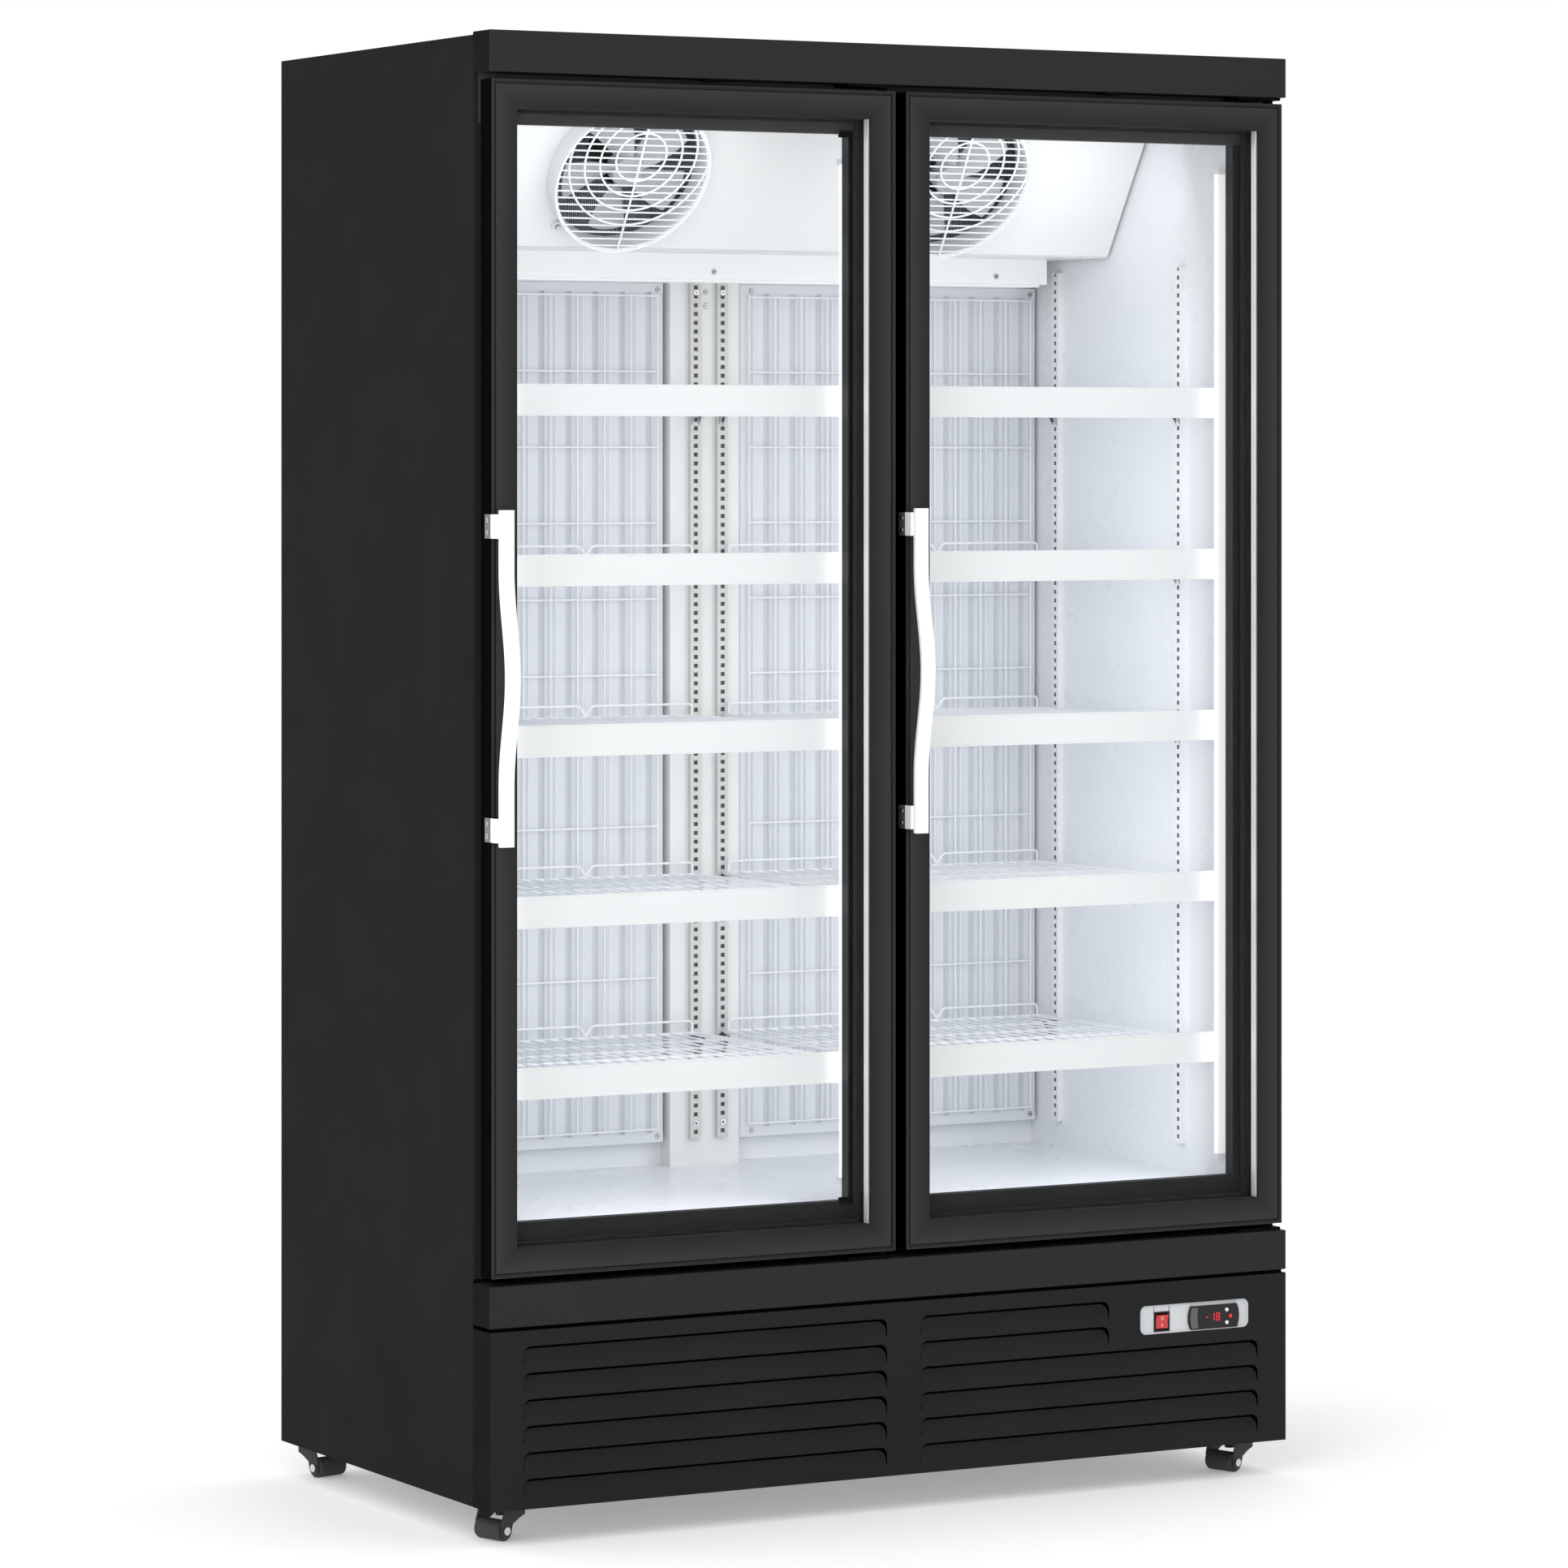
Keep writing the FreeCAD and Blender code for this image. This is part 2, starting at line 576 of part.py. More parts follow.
def make_standards():
    half = STANDARD_WIDTH / 2
    strips = []
    for mid in WALL_STANDARD_T:
        span = (LINER_SIDE, LINER_SIDE + STANDARD_DEPTH)
        strips.append(channel_strip(span, (mid - half, mid + half), "s_plus"))
        strips.append(channel_strip(mirrored_s(span), (mid - half, mid + half), "s_minus"))
    for mid in COLUMN_STANDARD_S:
        rear = (COLUMN_T - STANDARD_DEPTH, COLUMN_T)
        front = (FACE_BACK, FACE_BACK + STANDARD_DEPTH)
        strips.append(channel_strip((mid - half, mid + half), rear, "t_minus"))
        strips.append(channel_strip((mid - half, mid + half), front, "t_plus"))
    shapes["shelf_standards"] = group(strips)

    clips = []
    wall_s = LINER_SIDE + STANDARD_DEPTH
    for top in SHELF_TOPS:
        under = top - SHELF_DROP - SHELF_THICK
        seat = (under - 3 - GAP, under - GAP)
        leg = (under - CLIP_DROP, under - GAP)
        for mid in WALL_STANDARD_T:
            depth = (mid - 6, mid + 6)
            tongue = (wall_s, wall_s + 18)
            hook = (wall_s, wall_s + CLIP_SHEET)
            clips.append(block(tongue, depth, seat).fuse(block(hook, depth, leg)))
            tongue, hook = mirrored_s(tongue), mirrored_s(hook)
            clips.append(block(tongue, depth, seat).fuse(block(hook, depth, leg)))
        for mid, reach in zip(COLUMN_STANDARD_S, ((598.5, 612), (644, 651.5))):
            rear_t = COLUMN_T - STANDARD_DEPTH
            clip = block(reach, (rear_t - 20, rear_t), seat)
            clips.append(clip.fuse(block((mid - 6, mid + 6), (rear_t - 2, rear_t), leg)))
            front_t = FACE_BACK + STANDARD_DEPTH
            clip = block((mid - 6, mid + 6), (front_t, front_t + 4), leg)
            clips.append(clip.fuse(block(reach, (front_t, front_t + 26), seat)))
    shapes["shelf_clips"] = group([clip.removeSplitter() for clip in clips])


def make_shelves():
    """Wire shelves as slotted plates, each with its upright guard wire along the back."""
    shelves = []
    for low, high in SHELF_SPAN.values():
        wires = 24
        pitch = (high - low - 6) / wires
        rows = 4
        row_pitch = (SHELF_T[1] - SHELF_T[0] - 6) / rows
        for top in SHELF_TOPS:
            surface = top - SHELF_DROP
            holes = []
            for i in range(wires):
                for j in range(rows):
                    s = low + 6 + i * pitch
                    t = SHELF_T[0] + 6 + j * row_pitch
                    holes.append((s, t, s + pitch - 5, t + row_pitch - 6))
            plate = grid(
                (low, SHELF_T[0]), (high, SHELF_T[1]), (surface - SHELF_THICK, surface), "h", holes
            )
            guard = block((low + 6, high - 6), (SHELF_T[1] - 4, SHELF_T[1]), (surface, surface + 17))
            shelves += [plate, guard]
    shapes["wire_shelves"] = group(shelves)

    strips = []
    for span in STRIP_SPAN.values():
        strips += [block(span, STRIP_T, (top - STRIP_HEIGHT, top)) for top in SHELF_TOPS]
    shapes["label_strips"] = group(strips)


def make_rear_duct():
    column = block(
        (MULLION[0] - 1, MULLION[1]), (COLUMN_T, LINER_BACK), (LINER_FLOOR, COLUMN_TOP)
    )
    panels = [column]
    guards = []
    for low, high in DUCTS:
        outer = block((low, high), (DUCT_T, LINER_BACK), (DUCT_LOW, COLUMN_TOP - 2))
        inner = block((low + 1, high - 1), (DUCT_T + 1, LINER_BACK + 1), (DUCT_LOW - 1, COLUMN_TOP))
        panels.append(outer.cut(inner))
        guards.append(wire_guard((low + 12, high - 10)))
    shapes["rear_duct"] = group(panels)
    shapes["rear_wire_guards"] = group(guards)


def wire_guard(span):
    """A welded wire guard as a flat plate with square openings."""
    wire = GUARD_WIRE
    step_s = (span[1] - span[0] - wire) / GUARD_CELLS
    step_h = (GUARD_H[1] - GUARD_H[0] - wire) / GUARD_CELLS
    holes = []
    for i in range(GUARD_CELLS):
        for j in range(GUARD_CELLS):
            s = span[0] + wire + i * step_s
            h = GUARD_H[0] + wire + j * step_h
            holes.append((s, h, s + step_s - wire, h + step_h - wire))
    return grid((span[0], GUARD_H[0]), (span[1], GUARD_H[1]), GUARD_T, "t", holes)


def slope_frame():
    """The middle of the evaporator cover's slope, and its outward normal, in (t, h)."""
    run = (SLOPE_LOW[0] - SLOPE_TOP[0], SLOPE_LOW[1] - SLOPE_TOP[1])
    length = math.hypot(*run)
    along = (run[0] / length, run[1] / length)
    normal = (along[1], -along[0])
    middle = (SLOPE_TOP[0] + run[0] / 2, SLOPE_TOP[1] + run[1] / 2)
    return middle, along, normal


def on_slope(s, out, down=0.0):
    """A cabinet position by its distance out from the slope, and down along it."""
    middle, along, normal = slope_frame()
    t = middle[0] + normal[0] * out + along[0] * down
    h = middle[1] + normal[1] * out + along[1] * down
    return (s, t, h)


def make_evaporator():
    outline = [SLOPE_TOP, SLOPE_LOW, (COVER_BACK, COVER_LOW), (COVER_BACK, SLOPE_TOP[1])]
    shell = prism(outline, *COVER_S)
    normal = slope_frame()[2]
    open_top = SLOPE_TOP[1] + 4
    inner = [
        (SLOPE_TOP[0] - normal[0] * SKIN + 2.5, open_top), (SLOPE_LOW[0] + 0.8, SLOPE_LOW[1] + 1.3),
        (COVER_BACK + 1, COVER_LOW + SKIN), (COVER_BACK + 1, open_top),
    ]
    hollow = prism(inner, COVER_S[0] + 1, COVER_S[1] - 1)
    holes = [rod(on_slope(s, 20), on_slope(s, -20), FAN_HOLE_R) for s in FAN_S]
    shapes["evaporator_cover"] = shell.cut([hollow] + holes)

    tray = open_tray(TRAY_S, TRAY_T, TRAY_H, TRAY_WALL)
    pan = open_tray(PAN_S, PAN_T, PAN_H, PAN_WALL)
    shapes["drain_trays"] = group([tray, pan])

    coil = block(COIL_S, COIL_T, COIL_H)
    bends = []
    for row in range(5):
        h = COIL_H[0] + 15 + row * 30
        for s, out in zip(COIL_S, (-12, 12)):
            for t in (COIL_T[0] + 15, COIL_T[1] - 15):
                bends.append(rod((s, t, h), (s + out, t, h), 4.5))
    shapes["evaporator_coil"] = coil.fuse(bends)

    guards = []
    for s in FAN_S:
        outer = rod(on_slope(s, 0.1), on_slope(s, HOUSING_OUT), HOUSING_R)
        outer = outer.fuse(rod(on_slope(s, FLARE_OUT), on_slope(s, HOUSING_OUT), FLARE_R))
        inner = rod(on_slope(s, -1), on_slope(s, HOUSING_OUT + 1), FAN_HOLE_R)
        guards.append(outer.cut(inner).removeSplitter())
        guards.append(guard_disc(s))
    shapes["fan_guards"] = group(guards)


def open_tray(s, t, h, wall):
    """A shallow tray, open at its top."""
    hollow = block((s[0] + wall, s[1] - wall), (t[0] + wall, t[1] - wall), (h[0] + wall, h[1] + 1))
    return block(s, t, h).cut(hollow)


def guard_disc(s):
    """The finger guard over one fan: rings joined by four ribs, in one flat piece."""
    base = on_slope(s, HOUSING_OUT)
    tip = on_slope(s, HOUSING_OUT + FINGER_THICK)
    rings = []
    for radius in FINGER_RINGS + (FLARE_R - 1,):
        rings.append(rod(base, tip, radius).cut(rod(base, tip, radius - FINGER_BAR)))
    normal = slope_frame()[2]
    reach = FLARE_R - 2
    ribs = []
    for turn in (0, 45, 90, 135):
        bar = Part.makeBox(2 * reach, FINGER_BAR, FINGER_THICK, Vec(-reach, -FINGER_BAR / 2, 0))
        bar.rotate(Vec(0, 0, 0), Vec(0, 0, 1), turn)
        facing = FreeCAD.Rotation(Vec(0, 0, 1), Vec(0, normal[0], normal[1]))
        bar.Placement = FreeCAD.Placement(point(*base), facing).multiply(bar.Placement)
        ribs.append(bar)
    return rings[0].fuse(rings[1:] + ribs).removeSplitter()


def impeller(radius, centre, way):
    """A bladed wheel round a centre, with its axis along a direction."""
    low = Vec(0, 0, -FAN_DEPTH / 2)
    wheel = Part.makeCylinder(HUB_R, FAN_DEPTH, low)
    for i in range(BLADES):
        blade = Part.makeBox(radius - HUB_R + 4, HUB_R * 1.6, 1.6, Vec(HUB_R - 4, -HUB_R * 0.8, -0.8))
        blade.rotate(Vec(0, 0, 0), Vec(1, 0, 0), BLADE_TWIST)
        blade.rotate(Vec(0, 0, 0), Vec(0, 0, 1), 360 * i / BLADES)
        wheel = wheel.fuse(blade)
    wheel = wheel.common(Part.makeCylinder(radius, FAN_DEPTH, low))
    wheel.Placement = FreeCAD.Placement(centre, FreeCAD.Rotation(Vec(0, 0, 1), way))
    return wheel.removeSplitter()


def make_fans():
    normal = slope_frame()[2]
    way = Vec(0, normal[0], normal[1])
    motors = []
    for side, s in zip(("left", "right"), FAN_S):
        centre = point(*on_slope(s, 2))
        shapes["evaporator_fan_" + side] = impeller(FAN_R, centre, way)
        back = rod(on_slope(s, -62), on_slope(s, -12), 32)
        motors.append(back.fuse(rod(on_slope(s, -78), on_slope(s, -61), 8)))
    centre = point(CONDENSER_S, CONDENSER_T + 92, CONDENSER_H)
    shapes["condenser_fan"] = impeller(CONDENSER_FAN_R, centre, Vec(0, -1, 0))
    s, t, h = CONDENSER_S, CONDENSER_T, CONDENSER_H
    can = rod((s, t + 107, h), (s, t + 160, h), 34)
    post = block((s - 15, s + 15), (t + 118, t + 150), (FLOOR_T, h - 20))
    motors.append(can.fuse(post).removeSplitter())
    shapes["fan_motors"] = group(motors)


def make_lamps():
    """Upright lamps on both jambs and behind the mullion, each held by two end clips."""
    pieces = []
    jamb = (LINER_SIDE, LINER_SIDE + LAMP_WIDE)
    inner = (MULLION[0] + 2, MULLION[0] + 2 + LAMP_WIDE)
    for span in (jamb, mirrored_s(jamb), inner, mirrored_s(inner)):
        lit = (LAMP_LOW + LAMP_CLIP, LAMP_HIGH - LAMP_CLIP)
        pieces.append(block(span, (FACE_BACK + GAP, LAMP_BACK), lit))
        for low in (LAMP_LOW, LAMP_HIGH - LAMP_CLIP):
            pieces.append(block(span, (FACE_BACK, LAMP_BACK + 2), (low, low + LAMP_CLIP)))
    shapes["led_lamps"] = group(pieces)


# --- refrigeration compartment ---

def make_compartment():
    make_compressor()
    make_condenser()
    s, t = COMPRESSOR
    hot_line = [(s, t, 192), (s, t, 240), (600, t, 240), (600, 120, 240), (450.5, 120, 240)]
    cold_line = [(s + 78.5, t, 120), (1080, t, 120), (1080, t, 270), (1080, 560, 270), (700, 560, 270)]
    drier = rod((560, 200, 60), (560, 320, 60), 14)
    shapes["refrigerant_pipes"] = group([bent_pipe(hot_line, 4), bent_pipe(cold_line, 5), drier])

    box = block((960, 1170), (110, 230), (FLOOR_T, 120))
    s, h = GLAND_S, GLAND_H
    gland = rod((s, BODY_DEPTH - 30, h), (s, BODY_DEPTH - 0.2, h), GLAND_R)
    gland = gland.fuse(rod((s, BODY_DEPTH - 12, h), (s, BODY_DEPTH - 5, h), GLAND_R + 4))
    shapes["wiring_box"] = group([box, gland.removeSplitter()])


def make_compressor():
    """A welded can on a foot plate that stands on four rubber feet."""
    s, t = COMPRESSOR
    can = rod((s, t, FLOOR_T + 22), (s, t, FLOOR_T + 190), COMPRESSOR_R)
    can = can.makeFillet(30, [e for e in can.Edges if isinstance(e.Curve, Part.Circle)])
    plate = block((s - 100, s + 100), (t - 70, t + 70), (FLOOR_T + 16, FLOOR_T + 20))
    neck = rod((s, t, FLOOR_T + 17), (s, t, FLOOR_T + 30), 40)
    pieces = [can.fuse([plate, neck]).removeSplitter()]
    for ds in (-85, 85):
        for dt in (-55, 55):
            pieces.append(rod((s + ds, t + dt, FLOOR_T), (s + ds, t + dt, FLOOR_T + 16), 12))
    shapes["compressor"] = group(pieces)


def make_condenser():
    """The condenser block with its fan shroud behind it."""
    s, h = CONDENSER_S, CONDENSER_H
    wide = (s - CONDENSER_HALF, s + CONDENSER_HALF)
    middle = CONDENSER_T + CONDENSER_DEPTH
    back = middle + SHROUD_DEPTH
    coil = block(wide, (CONDENSER_T, middle), (FLOOR_T, CONDENSER_TOP))
    shroud = block(wide, (middle, back), (FLOOR_T, CONDENSER_TOP))
    hollow = block((wide[0] + 2, wide[1] - 2), (middle - 1, back - 1.5), (FLOOR_T + 2, CONDENSER_TOP - 2))
    mouth = rod((s, back - 8, h), (s, back + 2, h), CONDENSER_FAN_R + 6)
    shapes["condenser"] = group([coil, shroud.cut([hollow, mouth])])


def bent_pipe(route, radius):
    """A round tube along straight runs joined by tangent bends."""
    bend = 5 * radius
    corners = [point(*place) for place in route]
    edges = []
    start = corners[0]
    for before, corner, after in zip(corners, corners[1:], corners[2:]):
        way_in = (corner - before).normalize()
        way_out = (after - corner).normalize()
        enter = corner - way_in * bend
        leave = corner + way_out * bend
        centre = enter + way_out * bend
        middle = centre + (corner - centre).normalize() * bend
        edges.append(Part.LineSegment(start, enter).toShape())
        edges.append(Part.Arc(enter, middle, leave).toShape())
        start = leave
    edges.append(Part.LineSegment(start, corners[-1]).toShape())
    path = Part.Wire(edges)
    first = (corners[1] - corners[0]).normalize()
    profile = Part.Wire(Part.makeCircle(radius, corners[0], first))
    return path.makePipeShell([profile], True, False)


# --- casters ---


def make_caster(name, s, t):
    """One low swivel caster: a fixed plate, a yoke that turns, and a roller on its axle bolt."""
    floor = -CASTER_HEIGHT
    centre = point(s, t, floor)

    def placed(body):
        body.rotate(Vec(0, 0, 0), Vec(0, 0, 1), CASTER_TURNS[name])
        body.translate(centre)
        return body

    half = CASTER_PLATE / 2
    plate = Part.makeBox(CASTER_PLATE, CASTER_PLATE, 2.5, Vec(-half, -half, CASTER_HEIGHT - 2.5))
    race = Part.makeCylinder(14, 4, Vec(0, 0, CASTER_HEIGHT - 6.5))
    fixed = plate.fuse(race).removeSplitter()
    fixed.translate(centre)

    ear_in = ROLLER_LENGTH / 2 + 0.5
    ear_out = ear_in + EAR_THICK
    top = CASTER_HEIGHT - 6.5 - GAP
    bridge = Part.makeBox(36, 2 * ear_out, 2.5, Vec(-20, -ear_out, top - 2.5))
    yoke = bridge.fuse(Part.makeCylinder(7, 8, Vec(0, 0, top - 10)))
    outline = [
        Vec(-20, 0, top), Vec(16, 0, top), Vec(22, 0, 24), Vec(TRAIL + 8, 0, 8),
        Vec(TRAIL + 4, 0, 5), Vec(TRAIL - 4, 0, 5), Vec(TRAIL - 9, 0, 10), Vec(2, 0, 22),
        Vec(-10, 0, 29), Vec(-20, 0, 33),
    ]
    for low in (-ear_out, ear_in):
        ear = Part.Face(Part.makePolygon(outline + outline[:1])).extrude(Vec(0, EAR_THICK, 0))
        ear.translate(Vec(0, low, 0))
        yoke = yoke.fuse(ear)
    across = Vec(0, 1, 0)

    def axle(radius, low, length):
        return Part.makeCylinder(radius, length, Vec(TRAIL, low, ROLLER_R), across)

    bore = axle(AXLE_R, -40, 80)
    yoke = yoke.cut(bore).removeSplitter()
    bolt = axle(BOLT_R, -ear_out, 2 * ear_out)
    heads = [axle(BOLT_HEAD_R, -ear_out - BOLT_HEAD, BOLT_HEAD), axle(BOLT_HEAD_R, ear_out, BOLT_HEAD)]
    bolt = bolt.fuse(heads).removeSplitter()
    shapes["caster_yoke_" + name] = group([placed(yoke), placed(bolt)])

    roller = axle(ROLLER_R, -ROLLER_LENGTH / 2, ROLLER_LENGTH)
    roller = roller.makeFillet(2.0, [e for e in roller.Edges if isinstance(e.Curve, Part.Circle)])
    roller = roller.cut(bore)
    shapes["caster_roller_" + name] = placed(roller)
    return fixed


def make_casters():
    plates = []
    for end, t in zip(("front", "rear"), SWIVEL_T):
        for side, s in zip(("left", "right"), SWIVEL_S):
            plates.append(make_caster(end + "_" + side, s, t))
    shapes["caster_plates"] = group(plates)


def main():
    make_casing()
    make_insulation()
    make_liner()
    make_front()
    make_front_grille()
    make_controls()
    make_thermostat()
    for side in DOORS:
        make_door(side)
        make_handle(side)
    make_hinges()
    make_standards()
    make_shelves()
    make_rear_duct()
    make_evaporator()
    make_fans()
    make_lamps()
    make_compartment()
    make_casters()
    os.makedirs("parts", exist_ok=True)
    for name, shape in shapes.items():
        shape.exportStep(os.path.join("parts", name + ".step"))
    print(len(shapes), "nodes")


main()
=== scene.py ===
"""The looks of the glass door merchandiser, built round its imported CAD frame.

Pieces are built in cabinet millimetres: s from the cabinet's left side, t from the front plane of the
canopy back into the cabinet, h up from the cabinet's bottom edge. One matrix takes them to the frame.
"""
import math

import bmesh
import bpy
from mathutils import Matrix, Vector


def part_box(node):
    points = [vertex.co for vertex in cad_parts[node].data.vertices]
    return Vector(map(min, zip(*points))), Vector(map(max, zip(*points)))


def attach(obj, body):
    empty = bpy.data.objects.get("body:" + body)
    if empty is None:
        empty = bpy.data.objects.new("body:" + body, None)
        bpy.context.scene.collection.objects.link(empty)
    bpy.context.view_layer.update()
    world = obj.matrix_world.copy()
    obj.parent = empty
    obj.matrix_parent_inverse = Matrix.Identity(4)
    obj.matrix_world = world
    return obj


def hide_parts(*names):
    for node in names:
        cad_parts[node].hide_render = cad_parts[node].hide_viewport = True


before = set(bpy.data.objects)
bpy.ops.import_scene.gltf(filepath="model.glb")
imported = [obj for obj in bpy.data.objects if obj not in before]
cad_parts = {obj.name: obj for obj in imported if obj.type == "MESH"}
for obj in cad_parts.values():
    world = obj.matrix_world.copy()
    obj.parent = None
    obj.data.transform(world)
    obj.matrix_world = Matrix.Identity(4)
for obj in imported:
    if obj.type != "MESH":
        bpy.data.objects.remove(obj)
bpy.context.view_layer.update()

MM = 0.001

# --- places, in cabinet millimetres, read from the frame ---

canopy_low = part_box("canopy")[0]
grille_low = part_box("front_grille")[0]
ORIGIN = Vector((canopy_low.x, canopy_low.y, grille_low.z))
TO_ROW = Matrix.Translation(ORIGIN) @ Matrix.Scale(MM, 4)


def span(node):
    """The (low, high) pairs of a CAD node along s, t and h, in cabinet millimetres."""
    low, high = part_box(node)
    a, b = (low - ORIGIN) / MM, (high - ORIGIN) / MM
    return (a.x, b.x), (a.y, b.y), (a.z, b.z)


# --- shared dimensions, in cabinet millimetres ---

SHEET = 1.2
BEND = 2.4
DUCTS = ((62.0, 562.0), (687.0, 1188.0))
DUCT_FRONT = 585.0
DUCT_LOW = 400.0
DUCT_HIGH = 1639.0
COLUMN_S = (568.0, 681.0)
COLUMN_FRONT = 575.0
GUARD_CELLS = 11
GUARD_WIRE = 3.0
SHELF_TOPS = [1486.5 - 228.6 * i for i in range(5)]
SHELF_DROP = 12.0
SHELF_THICK = 6.0
SHELF_SPANS = ((67.0, 603.0), (647.0, 1183.0))
GALLERY = 17.0
DIP_SHARE = 0.664
STRIP_SPANS = ((61.0, 597.0), (653.0, 1189.0))
STRIP_HEIGHT = 43.0
STANDARD_WIDTH = 17.0
STANDARD_DEPTH = 8.0
COLUMN_STANDARD_HIGH = 1640.0
CLIP_DROP = 34.0
WALL_STANDARD_T = (183.0, 523.0)
COLUMN_STANDARD_S = (606.0, 650.0)
COLUMN_CLIPS = ((598.5, 612.0), (644.0, 651.5))
SLOPE_TOP = (242.6, 1897.8)
SLOPE_LOW = (380.0, 1681.0)
FAN_S = (359.0, 877.0)
FAN_HOLE_R = 110.0
HOUSING_R = 116.0
FLARE_R = 118.0
HOUSING_OUT = 30.0
RING_RADII = (38.0, 62.0, 85.0, 108.0)
RING_ASIDE = 3.0
RING_SHIFT = -35.0
LAMP_S = (57.0, 571.0, 667.0, 1181.0)
LAMP_WIDE = 12.0
ROCKER_WALL = 3.0
ROCKER_SWING = 12.0
CASTER_TURNS = {"front_left": 197.0, "front_right": 197.0, "rear_left": 285.0, "rear_right": 262.0}
AXLE_END = 28.2
HANDLE_STRAIGHT = 78.0
HANDLE_THICK = 8.0
FRAME_FACE = 38.5
TRAY_S = (93.0, 1157.0)
TRAY_FRONT = 500.0
TRAY_LOW = 1643.0
SPACER_IN = 6.5


# --- materials ---

def new_material(name):
    mat = bpy.data.materials.new(name)
    mat.use_nodes = True
    tree = mat.node_tree
    return mat, tree, tree.nodes["Principled BSDF"]


def noise(tree, scale, detail=3.0, stretch=(1, 1, 1)):
    """A noise value over the object's own place, in metres; stretch makes it run along an axis."""
    place = tree.nodes.new("ShaderNodeTexCoord")
    mapping = tree.nodes.new("ShaderNodeMapping")
    mapping.inputs["Scale"].default_value = stretch
    tree.links.new(place.outputs["Object"], mapping.inputs["Vector"])
    node = tree.nodes.new("ShaderNodeTexNoise")
    node.inputs["Scale"].default_value = scale
    node.inputs["Detail"].default_value = detail
    node.inputs["Roughness"].default_value = 0.55
    tree.links.new(mapping.outputs["Vector"], node.inputs["Vector"])
    return node.outputs["Fac"]


def ramp(tree, value, stops):
    """Maps a value through (place, colour) stops."""
    node = tree.nodes.new("ShaderNodeValToRGB")
    band = node.color_ramp
    while len(band.elements) < len(stops):
        band.elements.new(0.5)
    for element, (place, colour) in zip(band.elements, stops):
        element.position = place
        element.color = (*colour, 1.0)
    tree.links.new(value, node.inputs["Fac"])
    return node.outputs["Color"]


def spread(tree, value, low, high, start=0.3, end=0.7):
    """Maps start..end of a value to low..high."""
    node = tree.nodes.new("ShaderNodeMapRange")
    node.inputs["From Min"].default_value = start
    node.inputs["From Max"].default_value = end
    node.inputs["To Min"].default_value = low
    node.inputs["To Max"].default_value = high
    tree.links.new(value, node.inputs["Value"])
    return node.outputs["Result"]


def mix(tree, factor, first, second):
    """Mixes two colours by a factor; each input is a socket or a colour."""
    node = tree.nodes.new("ShaderNodeMix")
    node.data_type = "RGBA"
    tree.links.new(factor, node.inputs["Factor"])
    for socket, value in ((node.inputs[6], first), (node.inputs[7], second)):
        if isinstance(value, tuple):
            socket.default_value = (*value, 1.0)
        else:
            tree.links.new(value, socket)
    return node.outputs[2]


def bump(tree, shader, height, strength, distance):
    """Lets a height value roughen the shader's normal."""
    node = tree.nodes.new("ShaderNodeBump")
    node.inputs["Strength"].default_value = strength
    node.inputs["Distance"].default_value = distance
    tree.links.new(height, node.inputs["Height"])
    tree.links.new(node.outputs["Normal"], shader.inputs["Normal"])


def edge_mask(tree):
    """Near 1 on outer edges, where paint wears, from the mesh's own pointiness."""
    node = tree.nodes.new("ShaderNodeNewGeometry")
    return spread(tree, node.outputs["Pointiness"], 0.0, 1.0, 0.52, 0.62)


def grey(value):
    return value, value, value


def coat(name, dark, light, rough, grain=900, depth=0.25, wear=None, metal=0.0, specular=0.5, clear=0.0,
         stretch=(1, 1, 1), lift=0.0):
    """A coated or moulded surface: fine grain, broad colour drift, smudged roughness, worn edges.

    lift is a faint white glow: painted light on the label channels, the drip trays and the lamp cases, and an
    even brightening of the floor.
    """
    mat, tree, shader = new_material(name)
    broad = noise(tree, 3, 4)
    fine = noise(tree, grain, 2, stretch)
    smudge = noise(tree, 9, 5)
    colour = ramp(tree, broad, [(0.3, dark), (0.7, light)])
    if wear:
        colour = mix(tree, edge_mask(tree), colour, wear)
    tree.links.new(colour, shader.inputs["Base Color"])
    tree.links.new(spread(tree, smudge, rough[0], rough[1]), shader.inputs["Roughness"])
    shader.inputs["Metallic"].default_value = metal
    shader.inputs["Specular IOR Level"].default_value = specular
    shader.inputs["Coat Weight"].default_value = clear
    shader.inputs["Coat Roughness"].default_value = 0.08
    shader.inputs["Emission Color"].default_value = (1.0, 1.0, 1.0, 1.0)
    shader.inputs["Emission Strength"].default_value = lift
    bump(tree, shader, fine, depth, 0.0004)
    return mat


def galvanised(name):
    """Zinc plate with its soft crystal pattern."""
    mat, tree, shader = new_material(name)
    place = tree.nodes.new("ShaderNodeTexCoord")
    cells = tree.nodes.new("ShaderNodeTexVoronoi")
    cells.inputs["Scale"].default_value = 90
    tree.links.new(place.outputs["Object"], cells.inputs["Vector"])
    tone = spread(tree, cells.outputs["Color"], 0.0, 1.0, 0.0, 1.0)
    colour = ramp(tree, tone, [(0.0, (0.46, 0.47, 0.48)), (1.0, (0.58, 0.59, 0.60))])
    tree.links.new(colour, shader.inputs["Base Color"])
    tree.links.new(spread(tree, noise(tree, 60, 4), 0.28, 0.48), shader.inputs["Roughness"])
    shader.inputs["Metallic"].default_value = 1.0
    bump(tree, shader, noise(tree, 500, 3), 0.15, 0.0003)
    return mat


